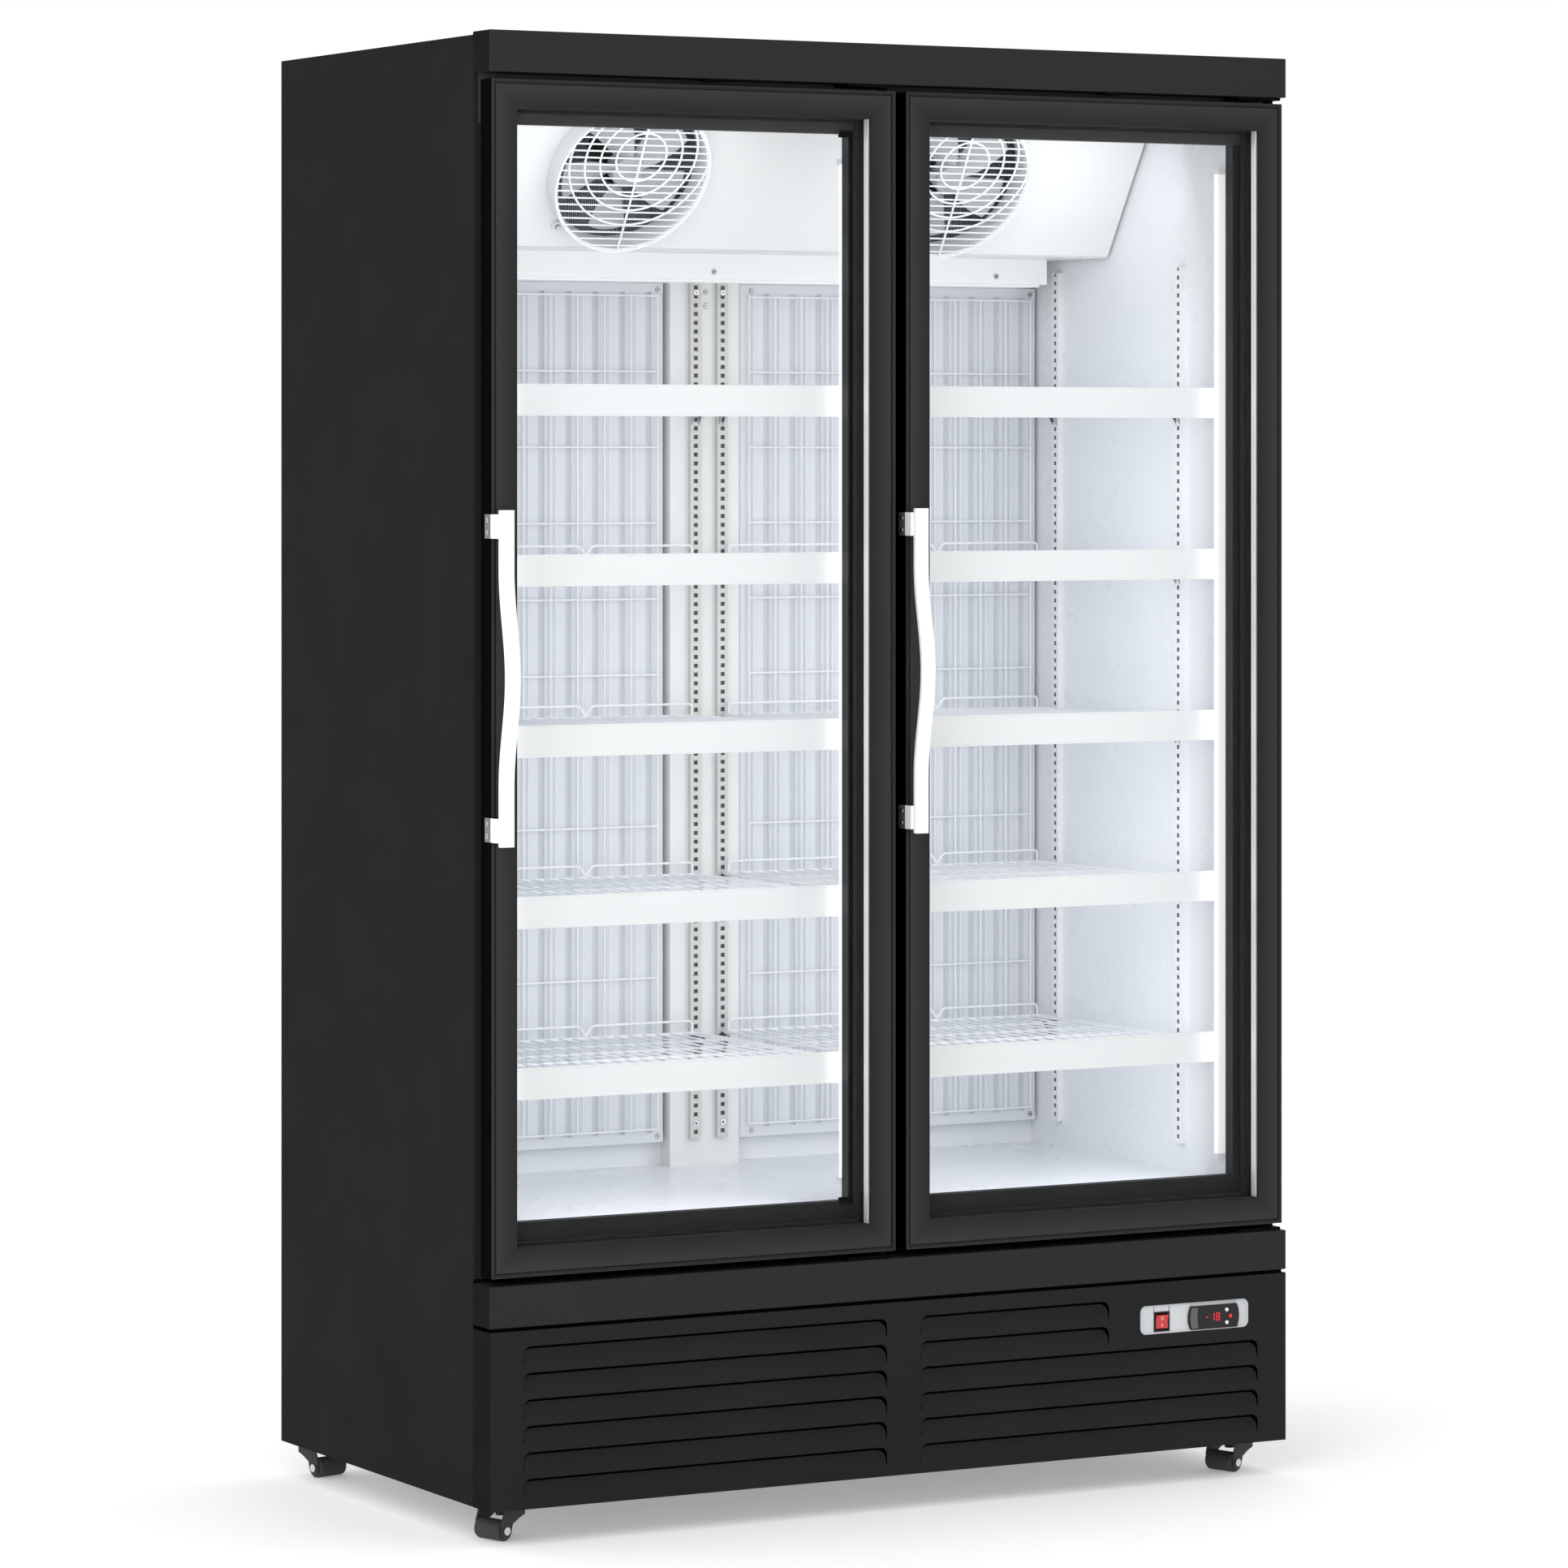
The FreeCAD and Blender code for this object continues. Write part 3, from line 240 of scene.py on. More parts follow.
def brushed(name, colour, rough, along, shade=0.82, metal=1.0):
    """Brushed metal; along stretches the scratches."""
    mat, tree, shader = new_material(name)
    lines = noise(tree, 700, 3, along)
    dark = tuple(c * shade for c in colour)
    tree.links.new(ramp(tree, lines, [(0.35, dark), (0.65, colour)]), shader.inputs["Base Color"])
    tree.links.new(spread(tree, noise(tree, 25, 4), rough[0], rough[1]), shader.inputs["Roughness"])
    shader.inputs["Metallic"].default_value = metal
    shader.inputs["Anisotropic"].default_value = 0.4
    bump(tree, shader, lines, 0.12, 0.0002)
    return mat


def fins(name, colour, axis, pitch):
    """Thin metal fins packed side by side along an axis, with painted shade in the narrow gaps between them.
    """
    mat, tree, shader = new_material(name)
    place = tree.nodes.new("ShaderNodeTexCoord")
    wave = tree.nodes.new("ShaderNodeTexWave")
    wave.bands_direction = axis
    wave.inputs["Scale"].default_value = 0.314 / pitch
    wave.inputs["Distortion"].default_value = 0.4
    wave.inputs["Detail"].default_value = 1.0
    tree.links.new(place.outputs["Object"], wave.inputs["Vector"])
    lines = wave.outputs["Fac"]
    # The dark bands are painted shade in the gaps between the fins.
    dark = tuple(c * 0.16 for c in colour)
    tree.links.new(ramp(tree, lines, [(0.25, dark), (0.75, colour)]), shader.inputs["Base Color"])
    tree.links.new(spread(tree, noise(tree, 30, 3), 0.35, 0.55), shader.inputs["Roughness"])
    shader.inputs["Metallic"].default_value = 0.9
    bump(tree, shader, lines, 0.7, 0.001)
    return mat


def glass(name, alpha):
    """Clear float glass with a faint tint and a trace of dust."""
    mat, tree, shader = new_material(name)
    film = noise(tree, 5, 5)
    tree.links.new(spread(tree, film, 0.01, 0.05), shader.inputs["Roughness"])
    tint = ramp(tree, film, [(0.2, (0.02, 0.024, 0.024)), (0.8, (0.03, 0.036, 0.035))])
    tree.links.new(tint, shader.inputs["Base Color"])
    shader.inputs["Alpha"].default_value = alpha
    shader.inputs["Specular IOR Level"].default_value = 0.3
    return mat


def glow(name, colour, strength):
    """A lit diffuser or display segment."""
    mat, tree, shader = new_material(name)
    shade = ramp(tree, noise(tree, 60, 2), [(0.2, tuple(c * 0.9 for c in colour)), (0.8, colour)])
    tree.links.new(shade, shader.inputs["Base Color"])
    tree.links.new(shade, shader.inputs["Emission Color"])
    shader.inputs["Emission Strength"].default_value = strength
    tree.links.new(spread(tree, noise(tree, 80, 2), 0.3, 0.5), shader.inputs["Roughness"])
    return mat


M = {
    "charcoal": coat("charcoal_powder_coat", grey(0.0046), grey(0.0058), (0.52, 0.62), wear=grey(0.014),
                     depth=0.3, specular=0.03),
    "black_paint": coat("black_powder_coat", (0.0085, 0.0098, 0.0105), (0.0105, 0.0122, 0.013),
                        (0.42, 0.52), wear=(0.024, 0.026, 0.028), depth=0.25, specular=0.12),
    "door_black": coat("door_frame_black", grey(0.011), grey(0.015), (0.34, 0.44), grain=1500, depth=0.1,
                       wear=grey(0.04), specular=0.16),
    "gloss_black": coat("gloss_black_trim", grey(0.006), grey(0.009), (0.12, 0.22), grain=300, depth=0.04,
                        specular=0.3),
    "black_plastic": coat("black_moulded", grey(0.008), grey(0.012), (0.34, 0.5), grain=1600, depth=0.06,
                          wear=grey(0.03), specular=0.2),
    "rubber": coat("gasket_rubber", grey(0.012), grey(0.02), (0.6, 0.78), grain=1200, depth=0.05),
    # Near black painted where there is only shade: in gaps, slits, screw sockets and recesses.
    "painted_shade": coat("painted_shade_black", grey(0.0015), grey(0.003), (0.7, 0.9), specular=0.03),
    "side_black": coat("shadowed_black", grey(0.0025), grey(0.004), (0.55, 0.7), specular=0.04),
    # Near black painted on the door frames' outer edge faces as the shade in the gap beside the cabinet.
    "edge_shade_black": coat("door_edge_painted_shade", grey(0.0004), grey(0.0008), (0.6, 0.7), depth=0.0, specular=0.01),
    # Lighter grey painted on the side sheets' front flanges as the highlight along their front edge.
    "flange_highlight": coat("panel_flange_painted_highlight", (0.016, 0.017, 0.017), (0.019, 0.02, 0.02), (0.5, 0.6), depth=0.1,
                        specular=0.05),
    # The face moulding above the doors, painted lighter for the light that falls on it.
    "face_top_lit": coat("face_moulding_painted_light", grey(0.058), grey(0.066), (0.5, 0.6), grain=900, depth=0.02,
                     specular=0.1),
    # The face moulding below the doors, painted darker as shade.
    "face_low_shaded": coat("face_moulding_painted_shade", grey(0.022), grey(0.027), (0.5, 0.6), grain=900, depth=0.02,
                     specular=0.1),
    "cover_white": coat("cover_enamel", (0.84, 0.85, 0.845), (0.87, 0.88, 0.875), (0.3, 0.42), grain=300,
                        depth=0.03, specular=0.3),
    # Brighter than the cover, with a faint glow: painted light on the drip trays.
    "tray_white_glow": coat("tray_enamel_painted_glow", (0.90, 0.91, 0.905), (0.93, 0.94, 0.935), (0.3, 0.42), grain=300,
                       depth=0.03, specular=0.3, lift=0.1),
    "duct_white": coat("duct_panel_white", (0.69, 0.715, 0.75), (0.735, 0.755, 0.79), (0.3, 0.42),
                       grain=260, depth=0.05),
    # The sashes' own dark grey; also a flat tone painted on the level members of the spacers and gaskets for
    # how light falls on them, shade on the spacers.
    "sash_and_level_shade": coat("sash_black_and_painted_shade", grey(0.03), grey(0.034), (0.6, 0.7), depth=0.0, specular=0.03),
    "panel_paint": coat("panel_powder_coat", (0.0085, 0.0098, 0.0105), (0.0105, 0.0122, 0.013),
                        (0.42, 0.52), depth=0.25, specular=0.12),
    "groove_grey": coat("groove_shade", (0.56, 0.58, 0.62), (0.64, 0.66, 0.70), (0.4, 0.5), depth=0.05),
    "standard_white": coat("coated_standard", (0.82, 0.83, 0.84), (0.88, 0.89, 0.90), (0.3, 0.4),
                           depth=0.08),
    "standard_grey": coat("weathered_standard", (0.56, 0.56, 0.54), (0.66, 0.66, 0.64), (0.34, 0.46),
                          depth=0.1, metal=0.2),
    "slot_soft": coat("slot_soft_shadow", (0.30, 0.30, 0.29), (0.38, 0.38, 0.37), (0.6, 0.8)),
    "bolt": coat("bright_bolt", grey(0.62), grey(0.74), (0.3, 0.4), grain=700, metal=0.3),
    # Darker grey painted on the rear of each handle bracket as the shade beside the door.
    "bracket_shade_grey": coat("bracket_painted_shade", grey(0.13), grey(0.2), (0.3, 0.4), grain=700, metal=0.5),
    "enamel": coat("white_enamel", (0.80, 0.825, 0.86), (0.87, 0.885, 0.91), (0.24, 0.36), grain=260,
                   depth=0.06),
    "white_plastic": coat("white_moulded", (0.83, 0.85, 0.87), (0.89, 0.90, 0.915), (0.3, 0.42), grain=900,
                          depth=0.1),
    "wire_white": coat("coated_wire", (0.80, 0.82, 0.85), (0.88, 0.89, 0.91), (0.28, 0.4), grain=1500,
                       depth=0.2),
    "column_white": coat("column_enamel", (0.77, 0.78, 0.775), (0.81, 0.82, 0.815), (0.28, 0.4), grain=300,
                         depth=0.08),
    # A faint glow: painted light on the label channels, which are no lamp.
    "strip_white_glow": coat("label_channel_painted_glow", (0.9, 0.925, 0.94), (0.93, 0.95, 0.965), (0.4, 0.5),
                        grain=900, depth=0.05, specular=0.3, lift=0.06),
    "guard_white": coat("fan_guard_white", (0.80, 0.83, 0.86), (0.88, 0.9, 0.92), (0.28, 0.4), grain=900,
                        depth=0.1),
    "slot_dark": coat("slot_shadow", grey(0.05), grey(0.08), (0.6, 0.8)),
    "fan_grey": coat("light_fan_blades", (0.46, 0.47, 0.48), (0.56, 0.57, 0.58), (0.3, 0.44), depth=0.1),
    "gloss_grey": coat("gloss_grey_lens", (0.06, 0.065, 0.07), (0.09, 0.095, 0.1), (0.08, 0.14),
                       depth=0.02),
    "grey_plastic": coat("light_grey_moulded", (0.52, 0.54, 0.56), (0.6, 0.615, 0.63), (0.36, 0.5),
                         grain=1800, depth=0.15),
    "red": coat("red_switch_cap", (0.42, 0.004, 0.008), (0.55, 0.008, 0.012), (0.16, 0.26), grain=800,
                depth=0.05, clear=0.5),
    "foam": coat("foam_core", (0.62, 0.52, 0.3), (0.75, 0.66, 0.42), (0.8, 0.95), grain=350, depth=0.6),
    "blades": coat("dark_fan_blades", (0.02, 0.021, 0.023), (0.035, 0.036, 0.04), (0.32, 0.46), grain=900,
                   depth=0.15),
    "gloss_paint": coat("compressor_paint", grey(0.01), grey(0.016), (0.14, 0.3), grain=400, depth=0.12,
                        clear=0.4),
    "galvanised": galvanised("galvanised_steel"),
    "handle": brushed("satin_aluminium", grey(0.98), (0.28, 0.38), (1, 1, 0.02), 0.97, metal=0.2),
    "steel": brushed("bright_steel", (0.7, 0.7, 0.71), (0.18, 0.3), (1, 0.05, 1)),
    "spacer": coat("spacer_bar", (0.74, 0.76, 0.75), (0.84, 0.86, 0.85), (0.3, 0.42), grain=700, depth=0.1,
                   metal=0.35, stretch=(1, 1, 0.03)),
    "copper": brushed("copper_tube", (0.72, 0.36, 0.22), (0.22, 0.38), (0.2, 0.2, 1)),
    "coil": fins("coil_fins", (0.62, 0.64, 0.66), "X", 0.003),
    "glass": glass("door_glass", 0.022),
    "lamp": glow("lamp_diffuser", grey(1.0), 1.1),
    # The lamp channels glow faintly: painted light on a case that is no lamp.
    "lamp_case_painted_glow": coat("lamp_case_painted_glow", (0.9, 0.91, 0.92), (0.93, 0.94, 0.95), (0.3, 0.4), depth=0.05, lift=0.3),
    "digit": glow("display_digit", (0.75, 0.01, 0.012), 0.45),
    # The switch's printed marks given a faint glow: painted light.
    "legend": glow("switch_legend_painted_glow", (0.9, 0.75, 0.72), 0.1),
    "floor": coat("pale_floor", grey(0.9), grey(0.93), (0.7, 0.8), grain=60, depth=0.02, specular=0.1,
                  lift=0.2),
}

# CAD nodes that are shown as they are, with their material.
CAD_LOOKS = {
    "charcoal": ["rear_grille"],
    "galvanised": ["rear_panel", "base_frame", "caster_plates"],
    "side_black": ["hinge_plates"],
    "foam": ["foam_insulation"],
    "enamel": ["inner_liner"],
    "cover_white": ["evaporator_cover"],
    "tray_white_glow": ["drain_trays"],
    "gloss_paint": ["compressor", "fan_motors"],
    "coil": ["evaporator_coil", "condenser"],
    "copper": ["refrigerant_pipes"],
    "black_plastic": ["wiring_box"],
    "sash_and_level_shade": ["left_door_sash", "right_door_sash"],
}
for look, names in CAD_LOOKS.items():
    for name in names:
        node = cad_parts[name]
        node.data.materials.clear()
        node.data.materials.append(M[look])


# --- mesh building ---

class Shape:
    """A mesh under construction, in cabinet millimetres, with one material per part."""

    def __init__(self):
        self.bm = bmesh.new()
        self.looks = []

    def look(self, name):
        if name not in self.looks:
            self.looks.append(name)
        return self.looks.index(name)

    def box(self, s, t, h, look):
        """A box from three (low, high) pairs."""
        verts = [self.bm.verts.new((a, b, c)) for a in s for b in t for c in h]
        for ids in ((0, 1, 3, 2), (4, 6, 7, 5), (0, 4, 5, 1), (2, 3, 7, 6), (0, 2, 6, 4), (1, 5, 7, 3)):
            face = self.bm.faces.new([verts[i] for i in ids])
            face.material_index = self.look(look)

    def rings(self, rings, look, closed=False, caps=True):
        """Joins rings of points into a skin; closed joins the last to the first."""
        index = self.look(look)
        rows = [[self.bm.verts.new(p) for p in ring] for ring in rings]
        count = len(rows[0])
        pairs = list(zip(rows, rows[1:]))
        if closed:
            pairs.append((rows[-1], rows[0]))
        for a, b in pairs:
            for i in range(count):
                j = (i + 1) % count
                self.bm.faces.new((a[i], a[j], b[j], b[i])).material_index = index
        if caps and not closed:
            self.bm.faces.new(list(reversed(rows[0]))).material_index = index
            self.bm.faces.new(rows[-1]).material_index = index

    def tube(self, path, radius, look, sides=8, closed=False):
        """A round bar along a path of points, mitred at its turns."""
        points = [Vector(p) for p in path]
        count = len(points)
        up = None
        rings = []
        for i, p in enumerate(points):
            before = points[i - 1] if (i or closed) else None
            after = points[(i + 1) % count] if (i + 1 < count or closed) else None
            way_in = (p - before).normalized() if before is not None else None
            way_out = (after - p).normalized() if after is not None else None
            way = ((way_in or way_out) + (way_out or way_in)).normalized()
            if up is None:
                up = way.orthogonal().normalized()
            up = (up - way * up.dot(way)).normalized()
            side = way.cross(up)
            widen = 1.0
            if way_in is not None and way_out is not None:
                widen = 1 / max(0.5, way.dot(way_out))
            bend = (way_out - way_in).normalized() if widen > 1.001 else None
            ring = []
            for k in range(sides):
                angle = 2 * math.pi * k / sides
                off = up * math.cos(angle) + side * math.sin(angle)
                if bend is not None:
                    off = off + bend * off.dot(bend) * (widen - 1)
                ring.append(p + off * radius)
            rings.append(ring)
        self.rings(rings, look, closed)

    def disc(self, start, end, radius, look, sides=32, hole=0.0):
        """A cylinder, or a pipe when it has a hole, between two points."""
        a, b = Vector(start), Vector(end)
        way = (b - a).normalized()
        up = way.orthogonal().normalized()
        side = way.cross(up)

        def ring(p, r):
            turn = 2 * math.pi / sides
            return [p + (up * math.cos(turn * k) + side * math.sin(turn * k)) * r for k in range(sides)]

        if hole:
            self.rings([ring(a, radius), ring(b, radius), ring(b, hole), ring(a, hole)], look, closed=True)
        else:
            self.rings([ring(a, radius), ring(b, radius)], look)

    def prism(self, outline, s_low, s_high, look):
        """A (t, h) outline extruded along s."""
        self.rings([[(s_low, t, h) for t, h in outline], [(s_high, t, h) for t, h in outline]], look)

    def bar_up(self, outline, h_low, h_high, look):
        """An (s, t) outline extruded along h."""
        self.rings([[(s, t, h_low) for s, t in outline], [(s, t, h_high) for s, t in outline]], look)

    def mitred(self, s, h, profile, look, edge=None, level=None):
        """A closed (inset, t) profile run round a rectangle and mitred at its corners.

        edge is the look of the profile's first face, and level is that of the two level members.
        """
        rings = []
        for inset, t in profile:
            left, right, low, high = s[0] + inset, s[1] - inset, h[0] + inset, h[1] - inset
            rings.append([(left, t, low), (right, t, low), (right, t, high), (left, t, high)])
        before = len(self.bm.faces)
        self.rings(rings, look, closed=True)
        self.bm.faces.ensure_lookup_table()
        for number, face in enumerate(self.bm.faces[before:]):
            if edge and number < 4:
                face.material_index = self.look(edge)
            if level and number % 2 == 0:
                face.material_index = self.look(level)

    def darken_ends(self, s, look):
        """Gives a look to the faces that lie on the two end planes of a channel."""
        index = self.look(look)
        for face in self.bm.faces:
            place = face.calc_center_median().x
            if min(abs(place - s[0]), abs(place - s[1])) < 0.4:
                face.material_index = index

    def piece(self, name, body, replaces=(), bevel=0.0, segments=2, smooth=False, angle=35):
        """Turns the mesh into a piece that rides on a body, or on none."""
        bmesh.ops.recalc_face_normals(self.bm, faces=self.bm.faces[:])
        self.bm.transform(TO_ROW)
        mesh = bpy.data.meshes.new(name)
        self.bm.to_mesh(mesh)
        self.bm.free()
        for look in self.looks:
            mesh.materials.append(M[look])
        obj = bpy.data.objects.new(name, mesh)
        bpy.context.scene.collection.objects.link(obj)
        if bevel:
            mod = obj.modifiers.new("edges", "BEVEL")
            mod.width = bevel * MM
            mod.segments = segments
            mod.limit_method = "ANGLE"
            mod.angle_limit = math.radians(angle)
            mod.harden_normals = False
        if smooth or bevel:
            for poly in mesh.polygons:
                poly.use_smooth = True
            mesh.set_sharp_from_angle(angle=math.radians(angle))
            mod = obj.modifiers.new("normals", "WEIGHTED_NORMAL")
            mod.keep_sharp = True
            mod.weight = 100
        if body:
            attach(obj, body)
        if replaces:
            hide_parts(*replaces)
        return obj


def rounded(a, b, radius, steps=6):
    """Points round a rounded rectangle of (low, high) pairs, turning from its high corner."""
    points = []
    for ca, cb, start in ((a[1], b[1], 0), (a[0], b[1], 90), (a[0], b[0], 180), (a[1], b[0], 270)):
        centre_a = ca - radius if ca == a[1] else ca + radius
        centre_b = cb - radius if cb == b[1] else cb + radius
        for k in range(steps + 1):
            angle = math.radians(start + 90 * k / steps)
            points.append((centre_a + radius * math.cos(angle), centre_b + radius * math.sin(angle)))
    return points


def channel_outline(s, t, steps):
    """The (s, t) outline of a channel that is open at its back, with its two front bends rounded."""
    outline = [(s[0], t[1])]
    for side, sign, start in ((s[0], 1, 180), (s[1], -1, 270)):
        for k in range(steps + 1):
            angle = math.radians(start + 90 * k / steps)
            outline.append((side + BEND * (sign + math.cos(angle)), t[0] + BEND * (1 + math.sin(angle))))
    return outline + [(s[1], t[1])]


# --- outer casing ---

def side_panels():
    """A folded sheet on each side, with its return at the back and its flange beside the doors."""
    s, t, h = span("side_panels")
    beside_doors = (span("face_frame")[2][0], span("canopy")[2][0])
    shape = Shape()
    for outer, sign in ((s[0], 1), (s[1], -1)):
        inner = outer + sign * SHEET
        shape.box(sorted((outer, inner)), t, h, "charcoal")
        shape.box(sorted((inner, outer + sign * 14)), (t[1] - SHEET, t[1]), (h[0] + 2, h[1] - 2), "charcoal")
        # The flange beside the doors is painted lighter grey as a highlight along the front edge.
        shape.box(sorted((outer, outer + sign * 7)), (t[0] - 0.8, t[0] + 0.2), beside_doors, "flange_highlight")
    shape.piece("side_panels_folded", "cabinet", ["side_panels"], bevel=0.5)


def top_panel():
    """The top sheet with its three low seams."""
    s, t, h = span("top_panel")
    shape = Shape()
    shape.box(s, t, h, "charcoal")
    for seam in (60, 300, 540):
        shape.box((s[0] + 20, s[1] - 20), (t[0] + seam, t[0] + seam + 0.8), (h[1] - 0.4, h[1]), "charcoal")
    shape.piece("top_panel_sheet", "cabinet", ["top_panel"], bevel=0.3)


def front_channel(node, name):
    """The canopy or the lower rail: a folded channel with returns and rounded bends."""
    s, t, h = span(node)
    edge = 0.7
    rings = []
    for z, inset in ((h[0], edge), (h[0] + edge, 0), (h[1] - edge, 0), (h[1], edge)):
        outline = channel_outline((s[0] + inset, s[1] - inset), (t[0] + inset, t[1]), 4)
        rings.append([(a, b, z) for a, b in outline])
    shape = Shape()
    shape.rings(rings, "black_paint")
    shape.darken_ends(s, "side_black")
    shape.piece(name, "cabinet", [node], smooth=True, angle=25)


def face_frame():
    """The moulded face that the door gaskets close against, and the glossy mullion between the doors."""
    s, t, h = span("face_frame")
    m_s, m_t, m_h = span("centre_mullion")
    liner = span("inner_liner")[0]
    jambs = ((s[0], liner[0] + 1), (liner[1] - 1, s[1]))
    shape = Shape()
    # The same moulding is painted light above the doors and shaded below them.
    shape.box(s, t, (h[0], m_h[0]), "face_low_shaded")
    shape.box(s, t, (m_h[1], h[1]), "face_top_lit")
    for low, high in jambs:
        shape.box((low, high), t, m_h, "black_plastic")
    # A black strip under the face moulding: painted shade in the gap below it.
    shape.box(s, (t[0], t[0] + 1), (h[0] - 12, h[0]), "painted_shade")
    shape.piece("face_frame_moulded", "cabinet", ["face_frame"], bevel=0.8)
    shape = Shape()
    shape.box(m_s, m_t, m_h, "gloss_black")
    for edge in (m_s[0] + 7, m_s[1] - 9):
        shape.box((edge, edge + 2), (m_t[0] - 0.2, m_t[0] + 1), (m_h[0] + 4, m_h[1] - 4), "black_plastic")
    for z in (m_h[0], m_h[1]):
        for edge in (m_s[0] - 14, m_s[1] - 12):
            shape.box((edge, edge + 26), (m_t[0] - 0.25, m_t[0] + 4), (z - 5, z + 5), "side_black")
    shape.piece("centre_mullion_trim", "cabinet", ["centre_mullion"], bevel=1.2)


# --- louvred front grille ---

LOUVRE_ROWS = 6
LOUVRE_PITCH = 35.0
LOUVRE_FIRST = 215.0
LOUVRE_SPANS = ((50.0, 601.0), (654.0, 1202.0))
LOUVRE_SHORT_END = 956.0
LOUVRE_DEPTH = 7.0
LOUVRE_FALL = 24.0
LOUVRE_CORNER = 11.0
LOUVRE_SLIT = 4.2
CONTROL_S = (1007.0, 1186.0)
CONTROL_H = (164.0, 204.0)


def louvre_corner():
    """The rounded end of a louvre, as (in from the end, down from the top) points."""
    turns = [math.pi / 2 * k / 6 for k in range(7)]
    return [(LOUVRE_CORNER * (1 - math.cos(a)), LOUVRE_CORNER * (1 - math.sin(a))) for a in turns]


def louvre(shape, low, high, top):
    """One pressed louvre: a slit along its top, with the sheet below it sloping back out to the face.

    Its plan is a row of sections along s. The recess is deepest along the slit and dies away at the
    bottom, and its ends are rounded, so that the slit turns down at both corners.
    """
    low, high, foot = low + LOUVRE_SLIT / 3, high - LOUVRE_SLIT / 3, top - LOUVRE_FALL
    top -= LOUVRE_SLIT
    corner = louvre_corner()
    stations = [(low + a, drop) for a, drop in corner] + [(high - a, drop) for a, drop in reversed(corner)]
    down = 6
    rows = []
    for s, drop in stations:
        deepest = LOUVRE_DEPTH * (1 - 0.75 * drop / LOUVRE_CORNER)
        row = []
        for j in range(down + 1):
            share = j / down
            recess = deepest * math.cos(math.pi / 2 * share) ** 1.3
            row.append(shape.bm.verts.new((s, recess, top - drop - (top - drop - foot) * share)))
        rows.append(row)
    index = shape.look("panel_paint")
    for a, b in zip(rows, rows[1:]):
        for j in range(down):
            shape.bm.faces.new((a[j], b[j], b[j + 1], a[j + 1])).material_index = index


def louvre_opening(low, high, top):
    """The opening that a louvre is pressed in, as (s, h) points, clockwise from its low left."""
    left = [(low, top - LOUVRE_FALL)] + [(low + a, top - drop) for a, drop in louvre_corner()]
    return left + [(high - (s - low), h) for s, h in reversed(left)]


def front_grille():
    """The front panel, cut for the louvres and the controls, with the louvres, and black sheets behind them
    that paint the shade in the slits and in the gap under the rail.
    """
    s, t, h = span("front_grille")
    louvres = Shape()
    openings = [rounded(CONTROL_S, CONTROL_H, 9.0)]
    for row in range(LOUVRE_ROWS):
        top = LOUVRE_FIRST - LOUVRE_PITCH * row
        for k, (low, high) in enumerate(LOUVRE_SPANS):
            if k and row < 2:
                high = LOUVRE_SHORT_END
            louvre(louvres, low, high, top)
            openings.append(louvre_opening(low, high, top))
    cut = Shape()
    for outline in openings:
        cut.rings([[(a, depth, b) for a, b in outline] for depth in (-3, 3)], "painted_shade")
    cutter = cut.piece("grille_cutter", "cabinet")

    panel = Shape()
    left, right, front = s[0] + SHEET, s[1] - SHEET, t[0] + SHEET
    back = [(right, t[1]), (right, front), (left, front), (left, t[1])]
    panel.bar_up(channel_outline(s, t, 8) + back, h[0], h[1], "panel_paint")
    panel.darken_ends(s, "side_black")
    obj = panel.piece("front_grille_panel", "cabinet", ["front_grille"])
    mod = obj.modifiers.new("openings", "BOOLEAN")
    mod.operation = "DIFFERENCE"
    mod.solver = "EXACT"
    mod.object = cutter
    bpy.context.view_layer.update()
    done = bpy.data.meshes.new_from_object(obj.evaluated_get(bpy.context.evaluated_depsgraph_get()))
    obj.modifiers.remove(mod)
    obj.data = done
    bpy.data.objects.remove(cutter)
    louvres.piece("front_grille_louvres", "cabinet", (), smooth=True, angle=50)

    # Black sheets behind the louvre slits and under the rail: painted shade.
    dark = Shape()
    dark.box((30, 1220), (16, 17), (8, 232), "painted_shade")
    dark.box((s[0] + 2, s[1] - 2), (10, 11), (h[1] - 6, h[1] + 12), "painted_shade")
    dark.piece("grille_shade_backing", "cabinet", ())


side_panels()
top_panel()
front_channel("canopy", "canopy_folded")
front_channel("lower_rail", "lower_rail_folded")
face_frame()
front_grille()


# --- doors ---

FRAME_LIP = 5.0
GLASS_T = (9.0, 29.0)
PANE = 4.0


